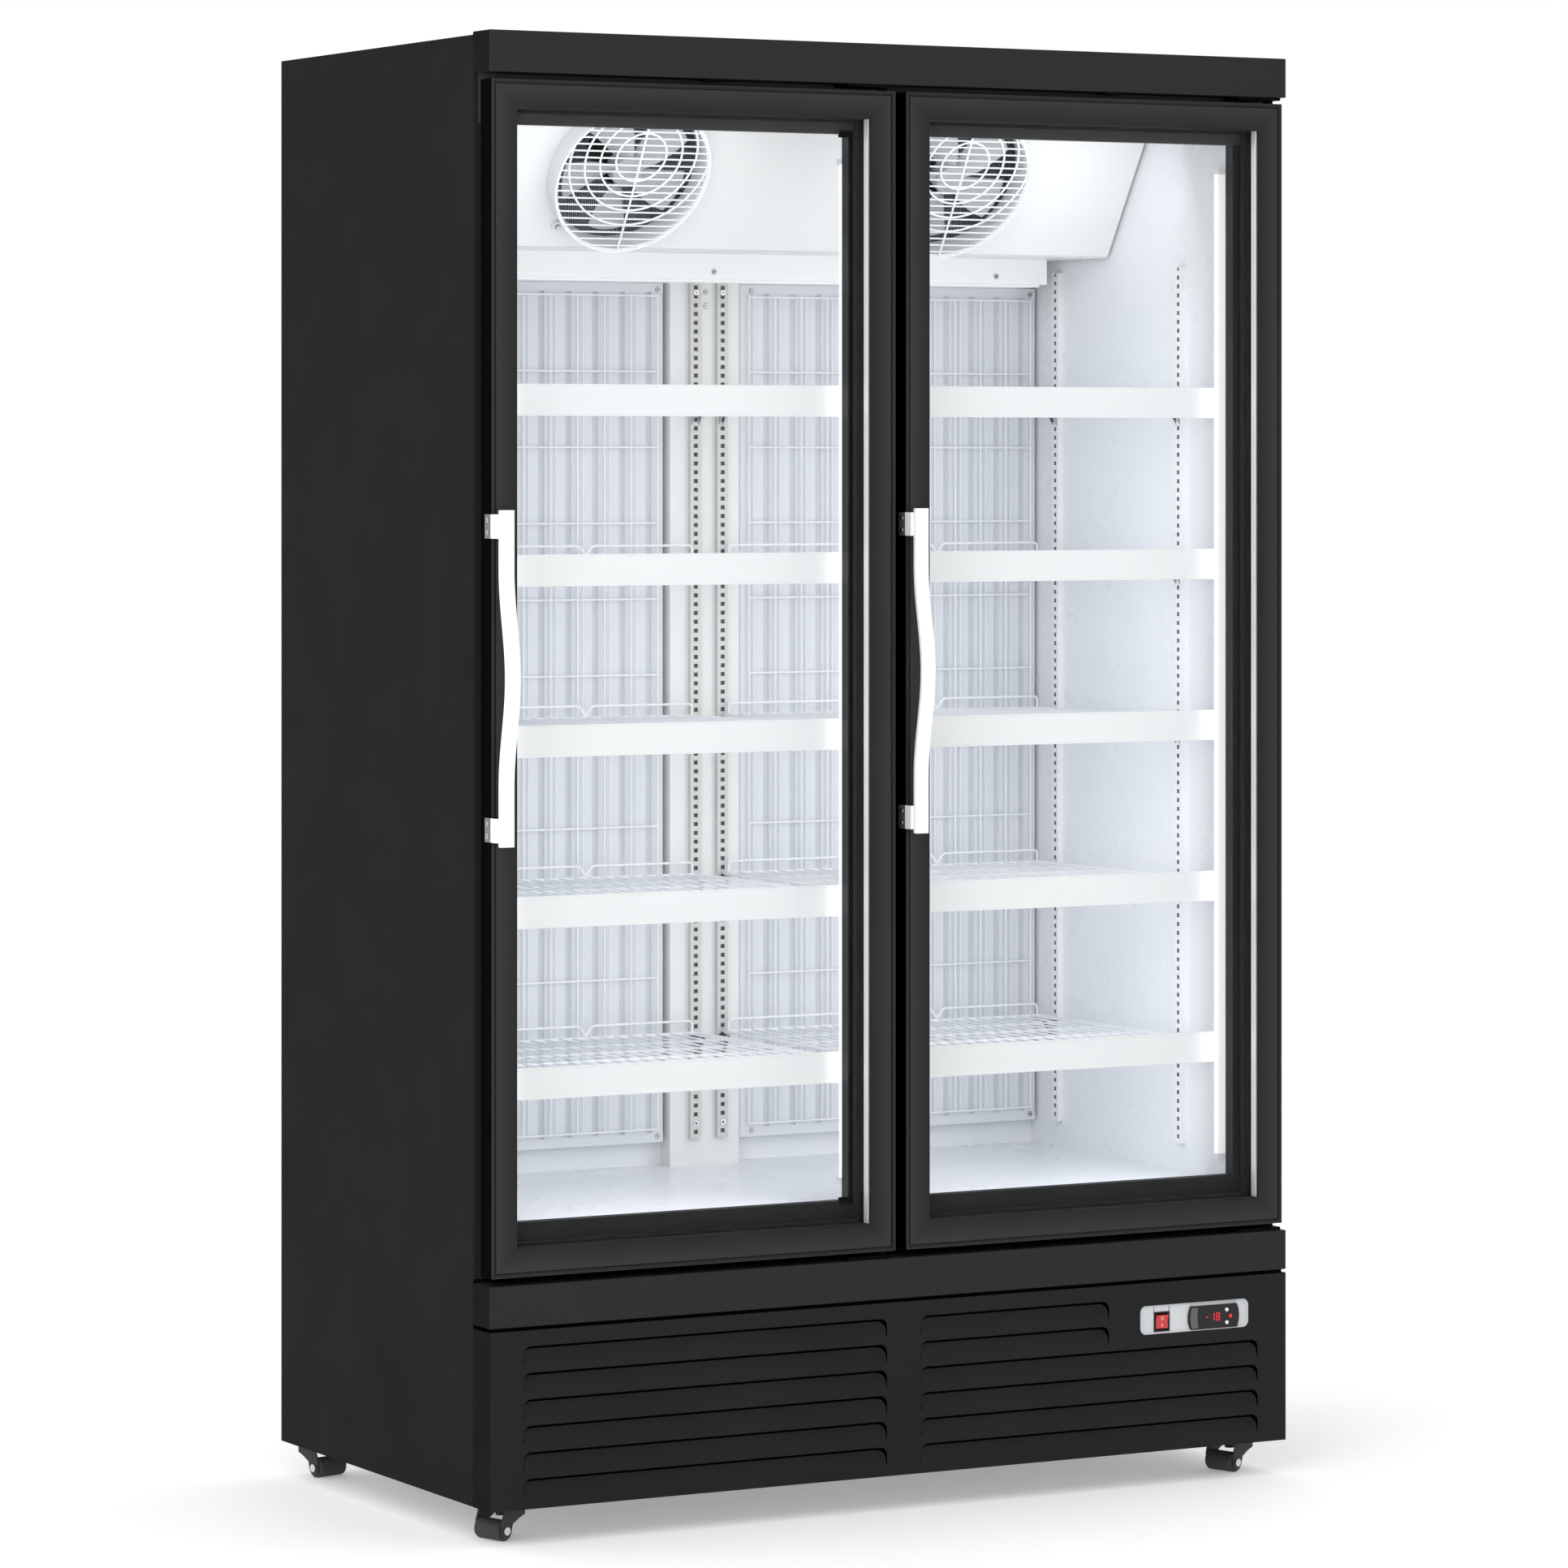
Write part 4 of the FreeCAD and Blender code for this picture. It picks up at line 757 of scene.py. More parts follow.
def door(side):
    """A mitred frame with an inner lip, two panes with a spacer bar between them, and a bellows gasket."""
    body = side + "_door"
    s, t, h = span(body + "_frame")
    lip, face, front = FRAME_LIP, FRAME_FACE, t[0]
    profile = [
        (0, t[1]), (0, front + 1.0), (0.3, front + 0.3), (1.0, front), (lip - 0.8, front),
        (lip, front + 0.7), (lip + 0.1, front + 2.8), (lip + 1.5, front + 2.8), (lip + 1.7, front + 1.3),
        (lip + 2.4, front + 0.9), (face - 3.2, front + 1.1), (face - 1.0, front + 1.9), (face, front + 3.4),
        (face, GLASS_T[0]), (face - 6, GLASS_T[0]), (face - 6, GLASS_T[1]), (face, GLASS_T[1]),
        (face, t[1] - 0.6), (face - 0.6, t[1]),
    ]
    shape = Shape()
    # The profile's first face, the frame's outer edge, is painted near black as shade.
    shape.mitred(s, h, profile, "door_black", edge="edge_shade_black")
    shape.piece(body + "_frame_mitred", body, [body + "_frame"], smooth=True, angle=28)

    s, _, h = span(body + "_glazing")
    shape = Shape()
    for front in (GLASS_T[0], GLASS_T[1] - PANE):
        shape.box(s, (front, front + PANE), h, "glass")
    shape.piece(body + "_panes", body, [body + "_glazing"], bevel=0.4, segments=1)
    low, high = GLASS_T[0] + PANE + 0.1, GLASS_T[1] - PANE - 0.1
    bar = [(2, low), (SPACER_IN - 0.6, low), (SPACER_IN, low + 0.7), (SPACER_IN, high - 0.7),
           (SPACER_IN - 0.6, high), (2, high)]
    shape = Shape()
    # The spacer's level members are painted dark grey as shade.
    shape.mitred(s, h, bar, "spacer", level="sash_and_level_shade")
    shape.piece(side + "_glass_spacer", body, (), smooth=True, angle=25)

    s, t, h = span(body + "_gasket")
    bellows = [(0, t[0]), (1, t[0] + 1.4), (0, t[1] - 1.2), (0.8, t[1]), (9, t[1]), (10, t[1] - 1.4),
               (12, t[1] - 0.4), (15.4, t[1] - 0.9), (16, t[0])]
    shape = Shape()
    # The gasket's level members take a flat painted tone for how light falls on them.
    shape.mitred(s, h, bellows, "rubber", level="sash_and_level_shade")
    shape.piece(body + "_gasket_folds", body, [body + "_gasket"], smooth=True)


def handle(side):
    """The bowed bar with eased edges: straight at both ends, and a cosine bow between them."""
    s, t, h = span(side + "_door_handle")
    half = (h[1] - h[0]) / 2
    turn = half - HANDLE_STRAIGHT
    bow = t[1] - t[0] - HANDLE_THICK
    steps = 56
    rings = []
    for i in range(steps + 1):
        away = -half + 2 * half * i / steps
        front, slope = t[1] - HANDLE_THICK, 0.0
        if abs(away) < turn:
            front -= bow * (1 + math.cos(math.pi * away / turn)) / 2
            slope = bow * math.pi / turn * math.sin(math.pi * away / turn) / 2
        deep = HANDLE_THICK * math.sqrt(1 + slope * slope)
        rings.append([(a, b, h[0] + half + away) for a, b in rounded(s, (front, front + deep), 2.2, 3)])
    shape = Shape()
    shape.rings(rings, "handle")
    shape.piece(side + "_handle_bow", side + "_door", [side + "_door_handle"], bevel=0.5,
                angle=60)


def handle_brackets(side):
    """Two folded brackets, each held on the door's edge by two cross-headed screws."""
    _, t, h = span(side + "_handle_brackets")
    frame_s, frame_t, _ = span(side + "_door_frame")
    left, door_face = frame_s[0], frame_t[0]
    sheet, tall = 2.5, 32
    outside = (left - sheet, left)
    head = (outside[0] - 1.4, outside[0] - 0.6)
    shape = Shape()
    for low in (h[0], h[1] - tall):
        rise = (low, low + tall)
        shape.box(outside, (t[0], door_face), rise, "handle")
        # Each leg is painted darker grey behind the door's face, as the shade beside the door; its front part
        # keeps the handle's finish.
        shape.box(outside, (door_face, t[1]), rise, "bracket_shade_grey")
        shape.box((left, left + 20), (t[0], t[0] + sheet), rise, "handle")
        for mid in (low + 8, low + 24):
            shape.disc((outside[0], 12, mid), (outside[0] - 1.3, 12, mid), 3.2, "steel", 20)
            # The cross in each screw head is painted black as shade in its recess.
            shape.box(head, (9.9, 14.1), (mid - 0.6, mid + 0.6), "painted_shade")
            shape.box(head, (11.4, 12.6), (mid - 2.1, mid + 2.1), "painted_shade")
    shape.piece(side + "_handle_bracket_plates", side + "_door", [side + "_handle_brackets"],
                bevel=0.35)


for side in ("left", "right"):
    door(side)
    handle(side)
    handle_brackets(side)


# --- cabinet interior ---

def screw(shape, s, t, h):
    """A pan-head screw on an upright face: a ring of painted shadow round its head, a steel head, and its
    socket painted black as shade.
    """
    shape.disc((s, t, h), (s, t - 0.8, h), 4.0, "slot_soft", 18)
    shape.disc((s, t - 0.7, h), (s, t - 1.6, h), 3.0, "steel", 18)
    shape.disc((s, t - 1.5, h), (s, t - 1.7, h), 1.5, "painted_shade", 6)


def rear_ducts():
    """The pressed air-duct panels, ribbed from top to bottom, with the rear column between them."""
    _, t, h = span("rear_duct")
    guard_low, guard_high = span("rear_wire_guards")[2]
    front = DUCT_FRONT
    shape = Shape()
    for low, high in DUCTS:
        first, last = low + 12, high - 10
        pitch = (last - first - GUARD_WIRE) / GUARD_CELLS
        outline = [(low, t[1]), (low, front + 1), (low + 1, front)]
        for i in range(GUARD_CELLS):
            middle = first + GUARD_WIRE / 2 + pitch * (i + 0.72)
            outline += [(middle + a, front + deep) for a, deep in ((-5, 0), (-3.5, 4), (3.5, 4), (5, 0))]
            groove = (middle - 3.4, middle + 3.4)
            shape.box(groove, (front + 3.8, front + 4.2), (guard_low - 3, guard_high + 3), "groove_grey")
        outline += [(high - 1, front), (high, front + 1), (high, t[1])]
        shape.bar_up(outline, guard_low - 4, guard_high + 4, "duct_white")
        for ends in ((DUCT_LOW, guard_low - 4), (guard_high + 4, DUCT_HIGH)):
            shape.box((low, high), (front, t[1]), ends, "duct_white")
        for s in (low + 20, high - 9):
            for z in (DUCT_LOW + 9, DUCT_HIGH - 9):
                screw(shape, s, front, z)
    shape.piece("rear_duct_panels", "cabinet", ["rear_duct"], bevel=0.4, angle=30)
    shape = Shape()
    shape.box(COLUMN_S, (COLUMN_FRONT, t[1]), h, "column_white")
    for drop in (14, 34):
        screw(shape, sum(COLUMN_S) / 2 + 2, COLUMN_FRONT, h[1] - drop)
    shape.piece("rear_column", "cabinet", (), bevel=1.0)


def tray_gap_fillers():
    """White filler strips that paint over the dark gaps between the evaporator cover, the drain tray and the
    ducts, the lower two with the tray's painted glow, and two screws.
    """
    tray_high = span("drain_trays")[2][1]
    cover_s, cover_t, cover_h = span("evaporator_cover")
    inside = (TRAY_S[0] + 1, TRAY_S[1] - 1)
    shape = Shape()
    shape.box((cover_s[0] + 1, cover_s[1] - 1), (SLOPE_LOW[0] + 3, cover_t[1]),
              (cover_h[0] - 1.6, cover_h[0] - 0.2), "cover_white")
    shape.box(inside, (TRAY_FRONT + 0.6, TRAY_FRONT + 2), (tray_high - 0.5, cover_h[0] - 1.0), "tray_white_glow")
    shape.box(inside, (TRAY_FRONT + 20, DUCT_FRONT + 1), (DUCT_HIGH + 0.5, TRAY_LOW - 0.1), "tray_white_glow")
    for place in (TRAY_S[0] + 507, TRAY_S[1] - 87):
        screw(shape, place, TRAY_FRONT, tray_high - 26)
    shape.piece("tray_gap_fillers", "cabinet", ())


def wire_guards():
    """Welded wire guards over the duct panels: round uprights with cross wires behind them."""
    _, t, h = span("rear_wire_guards")
    radius = GUARD_WIRE / 2 - 0.1
    front, back = t[0] + radius, t[1] - radius
    shape = Shape()
    for low, high in DUCTS:
        first, last = low + 12 + GUARD_WIRE / 2, high - 10 - GUARD_WIRE / 2
        for i in range(GUARD_CELLS + 1):
            s = first + (last - first) * i / GUARD_CELLS
            shape.tube([(s, front, h[0]), (s, front, h[1])], radius, "wire_white")
            if i < GUARD_CELLS:
                shape.tube([(s + 9, front + 1, h[0] + 1), (s + 9, front + 1, h[1] - 1)], 0.9, "wire_white", 6)
        for j in range(GUARD_CELLS + 1):
            z = h[0] + radius + (h[1] - h[0] - 2 * radius) * j / GUARD_CELLS
            shape.tube([(first, back, z), (last, back, z)], radius, "wire_white")
    shape.piece("rear_guard_wires", "cabinet", ["rear_wire_guards"], smooth=True)


def gallery(low, high, back, surface):
    """The path of the wire along a shelf's back: up from the shelf at both ends, with one dip to it."""
    mid = low + (high - low) * DIP_SHARE
    up = surface + GALLERY - 1.8
    rise = [(8, surface - 1), (8, up - 5), (9.5, up - 1.5), (13, up)]
    dip = [(-14, up), (-9, up - 2), (0, surface + 1), (9, up - 2), (14, up)]
    points = [(low + a, z) for a, z in rise] + [(mid + a, z) for a, z in dip]
    points += [(high - a, z) for a, z in reversed(rise)]
    return [(s, back, z) for s, z in points]


def wire_shelves():
    """Ten coated wire shelves, each a frame with close wires on four cross bars, and its gallery wire."""
    t = span("wire_shelves")[1]
    frame_r = 2.6
    wires = 24
    shape = Shape()
    for low, high in SHELF_SPANS:
        a, b, c, d = low + frame_r, high - frame_r, t[0] + frame_r, t[1] - frame_r
        for top in SHELF_TOPS:
            surface = top - SHELF_DROP
            z = surface - frame_r
            shape.tube([(a, c, z), (b, c, z), (b, d, z), (a, d, z)], frame_r, "wire_white", 8, closed=True)
            for i in range(1, wires):
                s = low + (high - low) * i / wires
                shape.tube([(s, t[0] + 1, surface - 1.4), (s, t[1] - 1, surface - 1.4)], 1.4, "wire_white", 6)
            for j in range(1, 5):
                depth = t[0] + (t[1] - t[0]) * j / 5
                shape.tube([(a, depth, surface - 4.4), (b, depth, surface - 4.4)], 1.6, "wire_white", 6)
            shape.tube(gallery(low, high, t[1] - 2.2, surface), 1.8, "wire_white", 8)
    shape.piece("shelf_wires", "cabinet", ["wire_shelves"], smooth=True)


def label_strips():
    """Lipped price-label channels on the shelf fronts, with a faint painted glow."""
    front, back = span("label_strips")[1]
    shape = Shape()
    for low, high in STRIP_SPANS:
        for top in SHELF_TOPS:
            base = top - STRIP_HEIGHT
            outline = [(back, base), (front + 0.6, base), (front, base + 0.6), (front, base + 2.4),
                       (front + 0.9, base + 3.0), (front + 0.9, top - 3.2), (front, top - 2.4),
                       (front, top - 0.6), (front + 0.6, top), (back, top)]
            shape.prism(outline, low, high, "strip_white_glow")
    shape.piece("label_channels", "cabinet", ["label_strips"], bevel=0.25, angle=20)


def ladder(shape, place, low, high, look, slot):
    """A slotted standard; place(across, out) gives (s, t) for a point of its section."""
    half = STANDARD_WIDTH / 2
    depth = STANDARD_DEPTH
    rail = 5.2
    pitch, rung = 12.7, 6.8

    def bar(a, b, o, p, z, paint=look):
        corners = [place(a, o), place(b, o), place(b, p), place(a, p)]
        shape.rings([[(s, t, level) for s, t in corners] for level in z], paint)

    bar(-half, -half + 1.2, 0, depth, (low, high))
    bar(half - 1.2, half, 0, depth, (low, high))
    bar(-half + 1.2, -half + rail, depth - 1.2, depth, (low, high))
    bar(half - rail, half - 1.2, depth - 1.2, depth, (low, high))
    for i in range(int((high - low) / pitch) + 1):
        base = low + i * pitch
        bar(-half + rail, half - rail, depth - 1.2, depth - 0.1, (base, min(base + rung, high)))
    bar(-half + 1.3, half - 1.3, 1.0, 1.6, (low + 1, high - 1), slot)


def standards():
    s, t, h = span("shelf_standards")
    shape = Shape()
    for mid in WALL_STANDARD_T:
        ladder(shape, lambda a, o, m=mid: (s[0] + o, m + a), h[0], h[1], "standard_white", "slot_dark")
        ladder(shape, lambda a, o, m=mid: (s[1] - o, m + a), h[0], h[1], "standard_white", "slot_dark")
    top = COLUMN_STANDARD_HIGH
    for mid in COLUMN_STANDARD_S:
        ladder(shape, lambda a, o, m=mid: (m + a, t[1] - o), h[0], top, "standard_grey", "slot_soft")
        ladder(shape, lambda a, o, m=mid: (m + a, t[0] + o), h[0], top, "standard_grey", "slot_soft")
        for z in (h[0] + 22, top - 14):
            front = t[1] - STANDARD_DEPTH
            shape.disc((mid, front, z), (mid, front - 1.2, z), 4.2, "steel", 18, hole=1.7)
    shape.piece("slotted_standards", "cabinet", ["shelf_standards"], bevel=0.0)


def shelf_clips():
    """Folded clips hooked in the standards, each a seat with two triangular cheeks under it."""
    wall_s, column_t, _ = span("shelf_standards")
    sheet = 1.6
    shape = Shape()

    def clip(edge, out, across, seat, on_wall):
        """One clip, reaching out from a standard's face; on the wall it reaches along s, else along t."""
        outline = [(edge, seat), (edge + out, seat), (edge + out, seat - 3), (edge, seat - CLIP_DROP)]
        for cheek in (across[0], across[1] - sheet):
            sides = (cheek, cheek + sheet)
            if on_wall:
                shape.rings([[(a, b, z) for a, z in outline] for b in sides], "galvanised")
            else:
                shape.prism(outline, *sides, "galvanised")
        reach = sorted((edge, edge + out))
        s, t = (reach, across) if on_wall else (across, reach)
        shape.box(s, t, (seat - sheet, seat), "galvanised")

    for top in SHELF_TOPS:
        seat = top - SHELF_DROP - SHELF_THICK - 0.3
        for mid in WALL_STANDARD_T:
            clip(wall_s[0] + STANDARD_DEPTH, 18, (mid - 6, mid + 6), seat, True)
            clip(wall_s[1] - STANDARD_DEPTH, -18, (mid - 6, mid + 6), seat, True)
        for across in COLUMN_CLIPS:
            clip(column_t[1] - STANDARD_DEPTH, -20, across, seat, False)
            clip(column_t[0] + STANDARD_DEPTH, 26, across, seat, False)
    shape.piece("shelf_clips_folded", "cabinet", ["shelf_clips"])


def slope_frame():
    """The middle of the evaporator cover's slope, its way down, and its outward normal."""
    down = Vector((0, SLOPE_LOW[0] - SLOPE_TOP[0], SLOPE_LOW[1] - SLOPE_TOP[1]))
    middle = Vector((0, SLOPE_TOP[0], SLOPE_TOP[1])) + down / 2
    down.normalize()
    return middle, down, Vector((0, down.z, -down.y))


def on_slope(s, across, down, out):
    middle, way, normal = slope_frame()
    return Vector((s + across, 0, 0)) + middle + way * down + normal * out


def circle(s, radius, out, shift=0.0, count=48):
    """Points round a circle on the slope."""
    turns = [2 * math.pi * k / count for k in range(count)]
    return [on_slope(s, radius * math.cos(a), shift + radius * math.sin(a), out) for a in turns]


def fan_housing(shape, s):
    """The moulded ring round a fan, flared at its front, and its four screwed lugs."""
    out, flare = HOUSING_OUT, FLARE_R
    profile = [(HOUSING_R, 0.2), (HOUSING_R, 16), (flare - 0.6, out - 6), (flare, out - 3),
               (flare - 0.6, out - 0.6), (flare - 2.4, out), (flare - 5, out), (flare - 6, out - 1),
               (FAN_HOLE_R, 16), (FAN_HOLE_R, 0.2)]
    shape.rings([circle(s, r, level, count=72) for r, level in profile], "guard_white", closed=True)
    lug = ((0.3, 5, 7.5, "guard_white", 20), (5, 6.5, 4.2, "slot_soft", 16), (6.4, 7.6, 3.2, "steel", 16))
    for turn in (131, 229, 311, 49):
        angle = math.radians(turn)
        across, down = (HOUSING_R + 8) * math.cos(angle), (HOUSING_R + 8) * math.sin(angle)
        for low, high, radius, look, sides in lug:
            shape.disc(on_slope(s, across, down, low), on_slope(s, across, down, high), radius, look, sides)


def finger_guard(shape, s):
    """The wires over a fan: level bars, offset rings that stop at the guard's edge, its edge and a rib."""
    out = HOUSING_OUT + 1.2
    reach = FLARE_R - 1.7
    pitch = 10.7
    rows = int(reach / pitch)
    for i in range(-rows, rows + 1):
        down = i * pitch
        half = math.sqrt(reach ** 2 - down ** 2)
        shape.tube([on_slope(s, across, down, out - 1.2) for across in (-half, half)], 1.25, "guard_white")
    centre = on_slope(s, 0, 0, out)
    for radius in RING_RADII:
        ring = circle(s + RING_ASIDE, radius, out, RING_SHIFT)
        top = len(ring) * 3 // 4
        kept = [p for p in ring[top:] + ring[:top] if (p - centre).length < reach]
        whole = len(kept) == len(ring)
        shape.tube(ring if whole else kept, 1.5, "guard_white", closed=whole)
    shape.tube(circle(s, reach, out, count=72), 1.7, "guard_white", closed=True)
    rib = [on_slope(s, 6 * math.cos(math.pi * k / 16), reach * (1 - k / 4), out) for k in range(9)]
    shape.tube(rib, 1.6, "guard_white")


def fan_guards():
    shape = Shape()
    for s in FAN_S:
        fan_housing(shape, s)
        finger_guard(shape, s)
    shape.piece("fan_guard_wires", "cabinet", ["fan_guards"], smooth=True, angle=40)


def fan_wheel(node, body, centre, axis, radius, look):
    """A hub with swept, twisted blades."""
    hub = 24.0
    depth = 12.0
    side = axis.orthogonal().normalized()
    up = axis.cross(side)

    def at(r, angle, out):
        return centre + (side * math.cos(angle) + up * math.sin(angle)) * r + axis * out

    rim = [(hub, -depth), (hub, depth - 3), (hub - 3, depth), (4, depth + 0.5)]
    shape = Shape()
    shape.rings([[at(r, 2 * math.pi * k / 40, out) for k in range(40)] for r, out in rim], look)
    blades, steps, chords = 5, 8, 6
    for b in range(blades):
        skins = []
        for i in range(steps + 1):
            r = hub - 2 + (radius - hub + 1) * i / steps
            share = i / steps
            wide = math.radians(52 - 14 * share)
            start = 2 * math.pi * b / blades + math.radians(18) * share
            row_top, row_low = [], []
            for j in range(chords + 1):
                u = j / chords
                angle = start + wide * u
                lift = (0.5 - u) * (18 - 8 * share) + 2.5 * math.sin(math.pi * u)
                row_top.append(at(r, angle, lift + 0.8))
                row_low.append(at(r, angle, lift - 0.8))
            skins.append(row_top + row_low[::-1])
        shape.rings(skins, look)
    shape.piece(node + "_wheel", body, [node], smooth=True, angle=50)


def fans():
    out = slope_frame()[2]
    for side, s in zip(("left", "right"), FAN_S):
        name = "evaporator_fan_" + side
        fan_wheel(name, name + "_body", on_slope(s, 0, 0, 2), out, 97, "fan_grey")
    low, high = [Vector(v) for v in zip(*span("condenser_fan"))]
    fan_wheel("condenser_fan", "condenser_fan_body", (low + high) / 2, Vector((0, -1, 0)), 91, "blades")


def lamps():
    """Upright lamps: a white channel with a painted glow, a lit rounded diffuser, and a moulded clip at each
    end.
    """
    _, t, h = span("led_lamps")
    clip = 8.0
    lit = (h[0] + clip, h[1] - clip)
    base = t[0] + 1.5
    shape = Shape()
    for low in LAMP_S:
        high, mid, radius = low + LAMP_WIDE, low + LAMP_WIDE / 2, LAMP_WIDE / 2 - 0.4
        shape.bar_up([(low, t[0]), (high, t[0]), (high, base), (low, base)], *lit, "lamp_case_painted_glow")
        lens = [(low + 0.4, base)]
        for k in range(9):
            angle = math.pi - math.pi * k / 8
            lens.append((mid + radius * math.cos(angle), t[0] + 9.5 + 6 * math.sin(angle)))
        lens.append((high - 0.4, base))
        shape.bar_up(lens[::-1], *lit, "lamp")
        for a, b in ((h[0], lit[0]), (lit[1], h[1])):
            shape.box((low, high), t, (a, b), "white_plastic")
            shape.box((low + 2, high - 2), (t[1] - 0.5, t[1]), (a + 2, b - 2), "grey_plastic")
    shape.piece("lamp_diffusers", "cabinet", ["led_lamps"], smooth=True, angle=40)


# --- controls ---


def control_tray():
    """The recessed light-grey tray round the switch and the thermostat."""
    s, h = CONTROL_S, CONTROL_H
    rocker_s, _, rocker_h = span("rocker_bezel")
    case_s = span("thermostat")[0]

    def inset(d, t, radius):
        return [(a, t, b) for a, b in rounded((s[0] + d, s[1] - d), (h[0] + d, h[1] - d), radius)]

    shape = Shape()
    shape.rings([inset(-0.8, 6.2, 9.8), inset(-0.8, 1.3, 9.8), inset(0.05, 1.3, 9), inset(0.1, 0.2, 9),
                 inset(2.2, 4.4, 7.5), inset(3.0, 5.0, 7)], "grey_plastic", caps=False)
    floor = (5.0, 6.2)
    inner = (h[0] + 2.9, h[1] - 2.9)
    gaps = ((s[0] + 2.9, rocker_s[0] + 1), (rocker_s[1] - 1, case_s[0] + 7), (case_s[1] - 7, s[1] - 2.9))
    for across in gaps:
        shape.box(across, floor, inner, "grey_plastic")
    for across in (rocker_s, (case_s[0] + 6, case_s[1] - 6)):
        shape.box(across, floor, (inner[0], rocker_h[0] + 2), "grey_plastic")
        shape.box(across, floor, (rocker_h[1] - 2, inner[1]), "grey_plastic")
    shape.piece("control_tray", "cabinet", ["control_plate"], smooth=True, angle=40)


def rocker_surround():
    s, _, h = span("rocker_bezel")
    wall = ROCKER_WALL
    profile = [(0, 5.0), (0, 4.1), (0.5, 3.6), (wall - 1.0, 3.5), (wall, 4.4), (wall, 22), (1.6, 22),
               (1.6, 5.0)]
    shape = Shape()
    shape.mitred(s, h, profile, "black_plastic")
    # A black plate at the back of the bezel: painted shade behind the cap.
    shape.box((s[0] + 2, s[1] - 2), (21, 22), (h[0] + 2, h[1] - 2), "painted_shade")
    shape.piece("rocker_surround", "cabinet", ["rocker_bezel"], bevel=0.3)


def rocker():
    """The red cap, bent at its middle, with a ring on its upper half and a bar on its lower one."""
    s, t, h = span("power_rocker")
    centre, mid = sum(s) / 2, sum(h) / 2
    half = (h[1] - h[0]) / 2
    tilt = 2 * half * math.tan(math.radians(ROCKER_SWING) / 2)
    front = t[0] + tilt
    outline = [(front, mid - half), (front - 0.1, mid - half * 0.5), (front + 0.35, mid),
               (front - tilt / 2 + 0.15, mid + half * 0.5), (front - tilt, mid + half),
               (front + 5.4, mid + 8), (t[1], mid + 3), (t[1], mid - 3), (front + 5.4, mid - 8)]
    shape = Shape()
    shape.prism(outline, s[0], s[1], "red")
    ring = []
    for k in range(20):
        angle = 2 * math.pi * k / 20
        z = mid + half * 0.52 + 2.4 * math.sin(angle)
        ring.append((centre + 1.9 * math.cos(angle), front - max(0.0, z - mid) * tilt / half - 0.05, z))
    # The ring and the bar are printed marks with a faint painted glow.
    shape.tube(ring, 0.32, "legend", 6, closed=True)
    low = mid - half * 0.5
    shape.tube([(centre, front - 0.1, low - 2.6), (centre, front - 0.1, low + 2.6)], 0.4, "legend", 6)
    shape.piece("power_rocker_cap", "power_rocker_body", ["power_rocker"], bevel=0.35)


def thermostat():
    """The glossy case with its bulging ends, and a grey lens over its left end."""
    s, t, h = span("thermostat")
    mid = sum(h) / 2
    half = (h[1] - h[0]) / 2
    bulge = 4.0
    front = t[0]
    shares = [-1 + k / 4 for k in range(9)]

    def outline(inset, depth):
        ends = [((bulge - inset) * (1 - a * a) - bulge, (half - inset) * a) for a in shares]
        right = [(s[1] + out, depth, mid + up) for out, up in ends]
        left = [(s[0] - out, depth, mid - up) for out, up in ends]
        return right + left

    shape = Shape()
    shape.rings([outline(0, 5.0), outline(0, front + 1.4), outline(0.6, front + 0.5),
                 outline(1.6, front + 0.1), outline(2.4, front + 0.45), outline(3.0, front + 0.5)],
                "gloss_black")
    shape.box((s[0] + 6.2, s[1] - 6.2), (5.0, t[1]), (h[0] + 2.2, h[1] - 2.2), "black_plastic")
    tall = half - 2.2
    cap = [(s[0] + bulge + 0.3 - (bulge - 2.0) * (1 - a * a), mid + tall * a) for a in shares]
    cap += [(s[0] + 15, mid + tall), (s[0] + 13.5, mid), (s[0] + 15, mid - tall)]
    shape.rings([[(a, depth, b) for a, b in cap] for depth in (front + 0.6, front + 0.2)], "gloss_grey")
    shape.piece("thermostat_case", "cabinet", ["thermostat"], smooth=True, angle=35)


def thermostat_digits():
    """The lit figures -18, each made of its bars."""
    s, t, h = span("thermostat")
    mid = sum(h) / 2
    wide, tall, weight = 6.2, 11.5, 1.35
    low, high = mid - tall / 2, mid + tall / 2
    upper, lower = (mid + 0.5, high - 0.6), (low + 0.6, mid - 0.5)
    lit = {"-": "g", "1": "bc", "8": "abcdefg"}
    shape = Shape()
    for place, mark in enumerate("-18"):
        left = s[0] + 27 + place * 9.0
        near, far = (left, left + weight), (left + wide - weight, left + wide)
        across = (near[1], far[0])
        bars = {
            "a": (across, (high - weight, high)), "d": (across, (low, low + weight)),
            "g": (across, (mid - weight / 2, mid + weight / 2)),
            "f": (near, upper), "b": (far, upper), "e": (near, lower), "c": (far, lower),
        }
        for name in lit[mark]:
            bar_s, bar_h = bars[name]
            shape.box(bar_s, (t[0] + 0.15, t[0] + 0.5), bar_h, "digit")
    shape.piece("thermostat_digits", "cabinet", ())


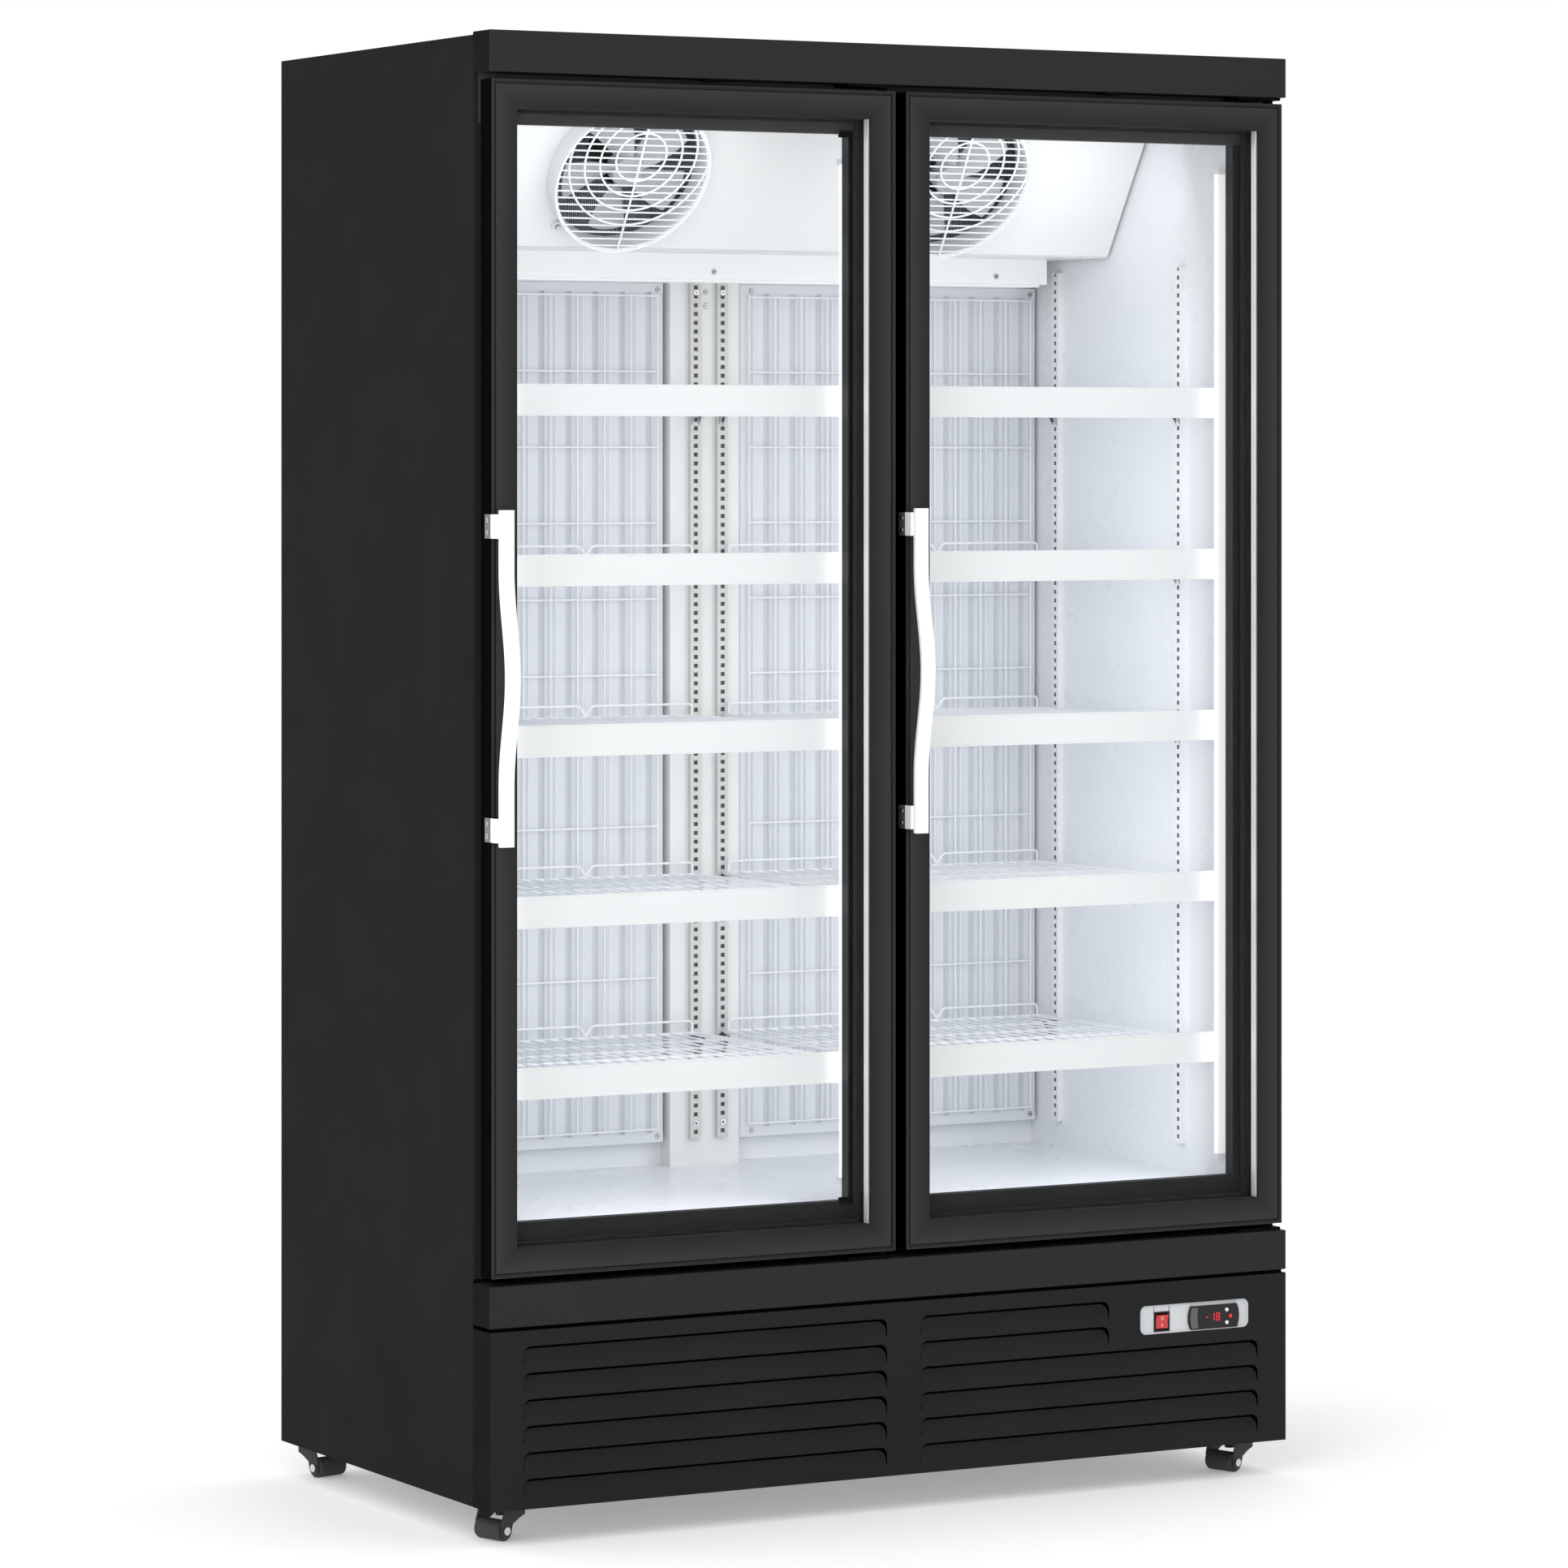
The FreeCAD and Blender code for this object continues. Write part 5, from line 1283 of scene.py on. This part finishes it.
def buttons():
    """The thermostat's round caps: the set button red, and the other two white."""
    turns = [2 * math.pi * k / 28 for k in range(28)]
    for name in ("button_up", "button_set", "button_down"):
        s, t, h = span(name)
        mid_s, mid_h = sum(s) / 2, sum(h) / 2
        radius = (s[1] - s[0]) / 2
        profile = [(radius, t[1]), (radius, t[0] + 0.5), (radius - 0.25, t[0] + 0.12), (radius - 0.9, t[0]),
                   (0.3, t[0] + 0.1)]
        look, slot = "white_plastic", "white_plastic"
        if name == "button_set":
            # The set button's cap takes the glowing digit red: a painted glow on a cap that is no lamp.
            look, slot = "digit", "red_plastic"
        shape = Shape()
        shape.rings([[(mid_s + r * math.cos(a), depth, mid_h + r * math.sin(a)) for a in turns]
                     for r, depth in profile], look)
        shape.piece(name + "_cap", name + "_body", [name], smooth=True)


def caster_bolts():
    """Bright bolt heads on the casters' axles."""
    for end, turn in CASTER_TURNS.items():
        low, high = [Vector(v) for v in zip(*span("caster_roller_" + end))]
        centre = (low + high) / 2
        angle = math.radians(turn)
        axle = Vector((-math.sin(angle), math.cos(angle), 0))
        shape = Shape()
        for way in (-axle, axle):
            start = centre + way * (AXLE_END - 0.1)
            tip = centre + way * (AXLE_END + 0.15)
            shape.disc(start, tip, 5.4, "bolt", 24)
            shape.disc(tip, tip + way * 0.1, 2.4, "steel", 6)
        shape.piece("caster_bolts_" + end, "swivel_" + end, ())


rear_ducts()
tray_gap_fillers()
wire_guards()
wire_shelves()
label_strips()
standards()
shelf_clips()
fan_guards()
fans()
lamps()
control_tray()
rocker_surround()
rocker()
thermostat()
thermostat_digits()
buttons()
caster_bolts()


# --- camera, light and floor ---

def studio():
    """A pale floor, white surroundings, a softbox at the left front, and lights for each bay."""
    floor = Shape()
    floor.box((-60000, 60000), (-60000, 60000), (-60, -48.05), "floor")
    floor.piece("studio_floor", None)

    world = bpy.data.worlds.new("studio")
    bpy.context.scene.world = world
    world.use_nodes = True
    back = world.node_tree.nodes["Background"]
    back.inputs["Color"].default_value = (1.0, 1.0, 1.0, 1.0)
    back.inputs["Strength"].default_value = 1.0

    area_light("front_left_softbox", (-2200, -2600, 2200), (500, 200, 1000), (2.0, 2.6), 40, (1, 1, 1))
    for middle in (315, 935):
        area_light("bay_light", (middle, 110, 1000), (middle, 600, 1000), (0.4, 1.3), 2.2, (0.96, 0.98, 1.0))
        area_light("bay_top_light", (middle, 160, 1800), (middle, 420, 1700), (0.4, 0.1), 0.3,
                   (0.97, 0.99, 1.0))


def area_light(name, place, aim, size, power, colour):
    """A light at a place in cabinet millimetres, turned to its aim; its size is in metres."""
    light = bpy.data.lights.new(name, "AREA")
    light.shape = "RECTANGLE"
    light.size, light.size_y = size
    light.energy = power
    light.color = colour
    obj = bpy.data.objects.new(name, light)
    bpy.context.scene.collection.objects.link(obj)
    obj.location = TO_ROW @ Vector(place)
    way = TO_ROW @ Vector(aim) - obj.location
    obj.rotation_euler = way.to_track_quat("-Z", "Y").to_euler()
    obj.visible_camera = False


def camera():
    """A level camera with a shifted lens, to the left of the front."""
    focal_widths = 3.89211
    turn = math.radians(28.6859)
    horizon_drop = 0.208939
    place = (-3512.35, -7224.80, 1389.23)
    data = bpy.data.cameras.new("camera")
    data.sensor_width = 36.0
    data.lens = 36.0 * focal_widths
    data.shift_y = -horizon_drop
    data.clip_end = 200.0
    obj = bpy.data.objects.new("camera", data)
    bpy.context.scene.collection.objects.link(obj)
    obj.location = TO_ROW @ Vector(place)
    obj.rotation_euler = (math.pi / 2, 0.0, -turn)
    bpy.context.scene.camera = obj


studio()
camera()
bpy.context.scene.view_settings.view_transform = "Standard"
